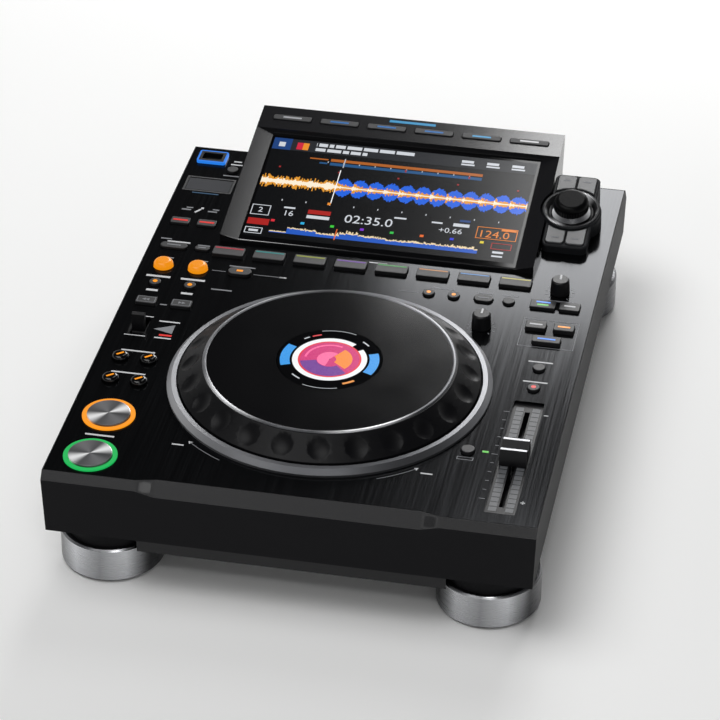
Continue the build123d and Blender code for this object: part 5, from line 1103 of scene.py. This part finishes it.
class PLAYER_OT_selector(bpy.types.Operator):
    """Adds the skirt and the ribs of the selector knob and the marks on the pod's keys"""
    bl_idname = "player.selector"
    bl_label = "Selector"

    def execute(self, context):
        made = finishes()
        middle, axis = selector_axis()
        points = [v.co - middle for v in frame["nodes"]["selector_knob"].data.vertices]
        base = min(p.dot(axis) for p in points) / MM
        radius = max((p - axis * p.dot(axis)).length for p in points) / MM
        place = POD.place.copy()
        place.translation = middle
        skirt = (0, 0, radius + SKIRT, radius - 0.2, base + 0.3, 2.6, 0.0, 360.0, SKIRT)
        make_piece("selector_skirt", made.chrome, "selector_knob", [(add_ring, *skirt)], place)
        ribs = []
        for i in range(RIBS):
            angle = 360 * i / RIBS
            ribs.append((add_box, *spoke(0, 0, radius, angle), 0.5, 0.9, base + 3.4, 3.6, angle))
        make_piece("selector_grip_ribs", made.knob, "selector_knob", ribs, place)
        corners = [(side * POD.wide * 0.27, end * POD.deep * 0.43) for end in (-1, 1) for side in (-1, 1)]
        words = [(add_box, x, y, 5.0, 1.2) for x, y in corners]
        make_piece("selector_key_words", made.dim_ink, "selector_keys", words, POD.place)
        return {"FINISHED"}


class PLAYER_OT_jog_art(bpy.types.Operator):
    """Draws the display in the jog wheel's hub"""
    bl_idname = "player.jog_art"
    bl_label = "Jog display"

    def execute(self, context):
        place = Matrix.Translation(Vector((JOG.x, JOG.y, WINDOW_TOP)) * MM)
        for name, tone, level, arcs in JOG_ART:
            film = lit_film(name.replace("_", " "), linear(tone))
            rings = [
                (add_ring, 0, 0, outer, inner, FILM * level, FILM, start, sweep)
                for outer, inner, start, sweep in arcs
            ]
            make_piece(name, film, "chassis", rings, place)
        return {"FINISHED"}


def facing_back(y):
    """A frame for print that is read from behind, at a distance along the player in millimetres."""
    return Matrix(((-1, 0, 0, 0), (0, 0, 1, y * MM), (0, 1, 0, 0), (0, 0, 0, 1)))


class PLAYER_OT_rear_print(bpy.types.Operator):
    """Prints the label bars above the sockets and adds the faces of the audio jacks, with painted shade in
    their holes
    """
    bl_idname = "player.rear_print"
    bl_label = "Rear print"

    def execute(self, context):
        made = finishes()
        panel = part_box("rear_panel")[1] / MM
        sockets = solid_boxes("sockets")
        bars = [
            (add_box, -(low.x + high.x) / 2, panel.z + 3.0, min(high.x - low.x, 14.0), 1.4)
            for low, high in sockets if high.y > REAR_WALL - 10
        ]
        make_piece("rear_print", made.dim_ink, "chassis", bars, facing_back(REAR_WALL))
        barrels = [(low + high) / 2 for low, high in sockets if high.y > panel.y + 5 and high.x < JACK_SIDE]
        ends = facing_back(max(high.y for low, high in sockets))
        hole_shades = []
        for i, (barrel, code) in enumerate(zip(barrels, JACK_TONES), 1):
            # Nylon insulators are moulded in the colour of their channel.
            nylon = fine_finish(f"coloured nylon {i}", linear(code), 0.0, 0.45, 0.5)
            ring = (add_ring, -barrel.x, barrel.z, JACK_FACE, JACK_HOLE)
            make_piece(f"jack_insulator_{i}", nylon, "chassis", [ring], ends)
            # A black disc in each insulator is painted shade where the jack's hole is.
            hole_shades.append((add_disc, -barrel.x, barrel.z, JACK_HOLE))
        make_piece("jack_hole_shades", made.knob, "chassis", hole_shades, ends)
        return {"FINISHED"}


class PLAYER_OT_stage(bpy.types.Operator):
    """Sets up the floor, the lights, the surroundings and the camera"""
    bl_idname = "player.stage"
    bl_label = "Stage"

    def execute(self, context):
        scene = context.scene
        scene.view_settings.view_transform = "Standard"
        bm = bmesh.new()
        bmesh.ops.create_grid(bm, x_segments=1, y_segments=1, size=FLOOR_HALF)
        mesh = bpy.data.meshes.new("floor")
        bm.to_mesh(mesh)
        bm.free()
        floor = bpy.data.objects.new("floor", mesh)
        context.collection.objects.link(floor)
        # A matte paper sweep, pale enough to read as white.
        mesh.materials.append(fine_finish("pale paper sweep", linear("FAFAF9"), 0.0, 0.9, 2, 0.05, 0.0, 0.1))
        self.surroundings(scene)
        for lamp in LAMPS:
            self.lamp(*lamp)
        camera = bpy.data.objects.new("camera", bpy.data.cameras.new("camera"))
        camera.data.lens = CAMERA_LENS
        camera.location = CAMERA_PLACE
        aim = Vector(CAMERA_AIM) - camera.location
        camera.rotation_euler = aim.to_track_quat("-Z", "Y").to_euler()
        context.collection.objects.link(camera)
        scene.camera = camera
        return {"FINISHED"}

    def surroundings(self, scene):
        """A room that is pale near the floor and dark above, so that black gloss stays black."""
        world = bpy.data.worlds.new("studio")
        world.use_nodes = True
        tree = world.node_tree
        where = add_node(tree, "TexCoord").outputs["Generated"]
        height = add_node(tree, "SeparateXYZ", {"Vector": where}).outputs["Z"]
        stops = ((0.05, (0.86, 0.86, 0.86)), (0.5, (0.035, 0.035, 0.038)))
        add_node(tree, "ValToRGB", {"Fac": height}, stops, tree.nodes["Background"].inputs["Color"])
        scene.world = world

    def lamp(self, name, place, wide, deep, power):
        """A soft rectangular lamp aimed at the player."""
        source = bpy.data.lights.new(name, "AREA")
        source.shape = "RECTANGLE"
        source.size = wide
        source.size_y = deep
        source.energy = power
        lamp = bpy.data.objects.new(name, source)
        lamp.location = place
        lamp.rotation_euler = (-Vector(place)).to_track_quat("-Z", "Y").to_euler()
        bpy.context.collection.objects.link(lamp)


STEPS = (
    PLAYER_OT_casing, PLAYER_OT_deck_print, PLAYER_OT_key_marks, PLAYER_OT_deck_lamps, PLAYER_OT_fader,
    PLAYER_OT_screen, PLAYER_OT_hood_marks, PLAYER_OT_selector, PLAYER_OT_jog_art, PLAYER_OT_rear_print,
    PLAYER_OT_stage,
)


class PLAYER_PT_panel(bpy.types.Panel):
    """The player's pieces, colours and sizes"""
    bl_idname = "PLAYER_PT_panel"
    bl_label = "DJ media player"
    bl_space_type = "VIEW_3D"
    bl_region_type = "UI"
    bl_category = "Player"

    def draw(self, context):
        for step in STEPS:
            self.layout.operator(step.bl_idname)
        for group in (context.scene.player_colours, context.scene.player_sizes):
            for key in group.bl_rna.properties.keys():
                if key not in ("rna_type", "name"):
                    self.layout.prop(group, key)


CLASSES = (PlayerColours, PlayerSizes, *STEPS, PLAYER_PT_panel)


def register():
    """Adds the classes and the scene's settings."""
    for item in CLASSES:
        bpy.utils.register_class(item)
    bpy.types.Scene.player_colours = bpy.props.PointerProperty(type=PlayerColours)
    bpy.types.Scene.player_sizes = bpy.props.PointerProperty(type=PlayerSizes)


def unregister():
    """Takes the settings and the classes away."""
    del bpy.types.Scene.player_sizes
    del bpy.types.Scene.player_colours
    for item in reversed(CLASSES):
        bpy.utils.unregister_class(item)


def main():
    """Makes every piece in order."""
    register()
    for step in STEPS:
        group, name = step.bl_idname.split(".")
        getattr(getattr(bpy.ops, group), name)()


if __name__ == "__main__":
    main()
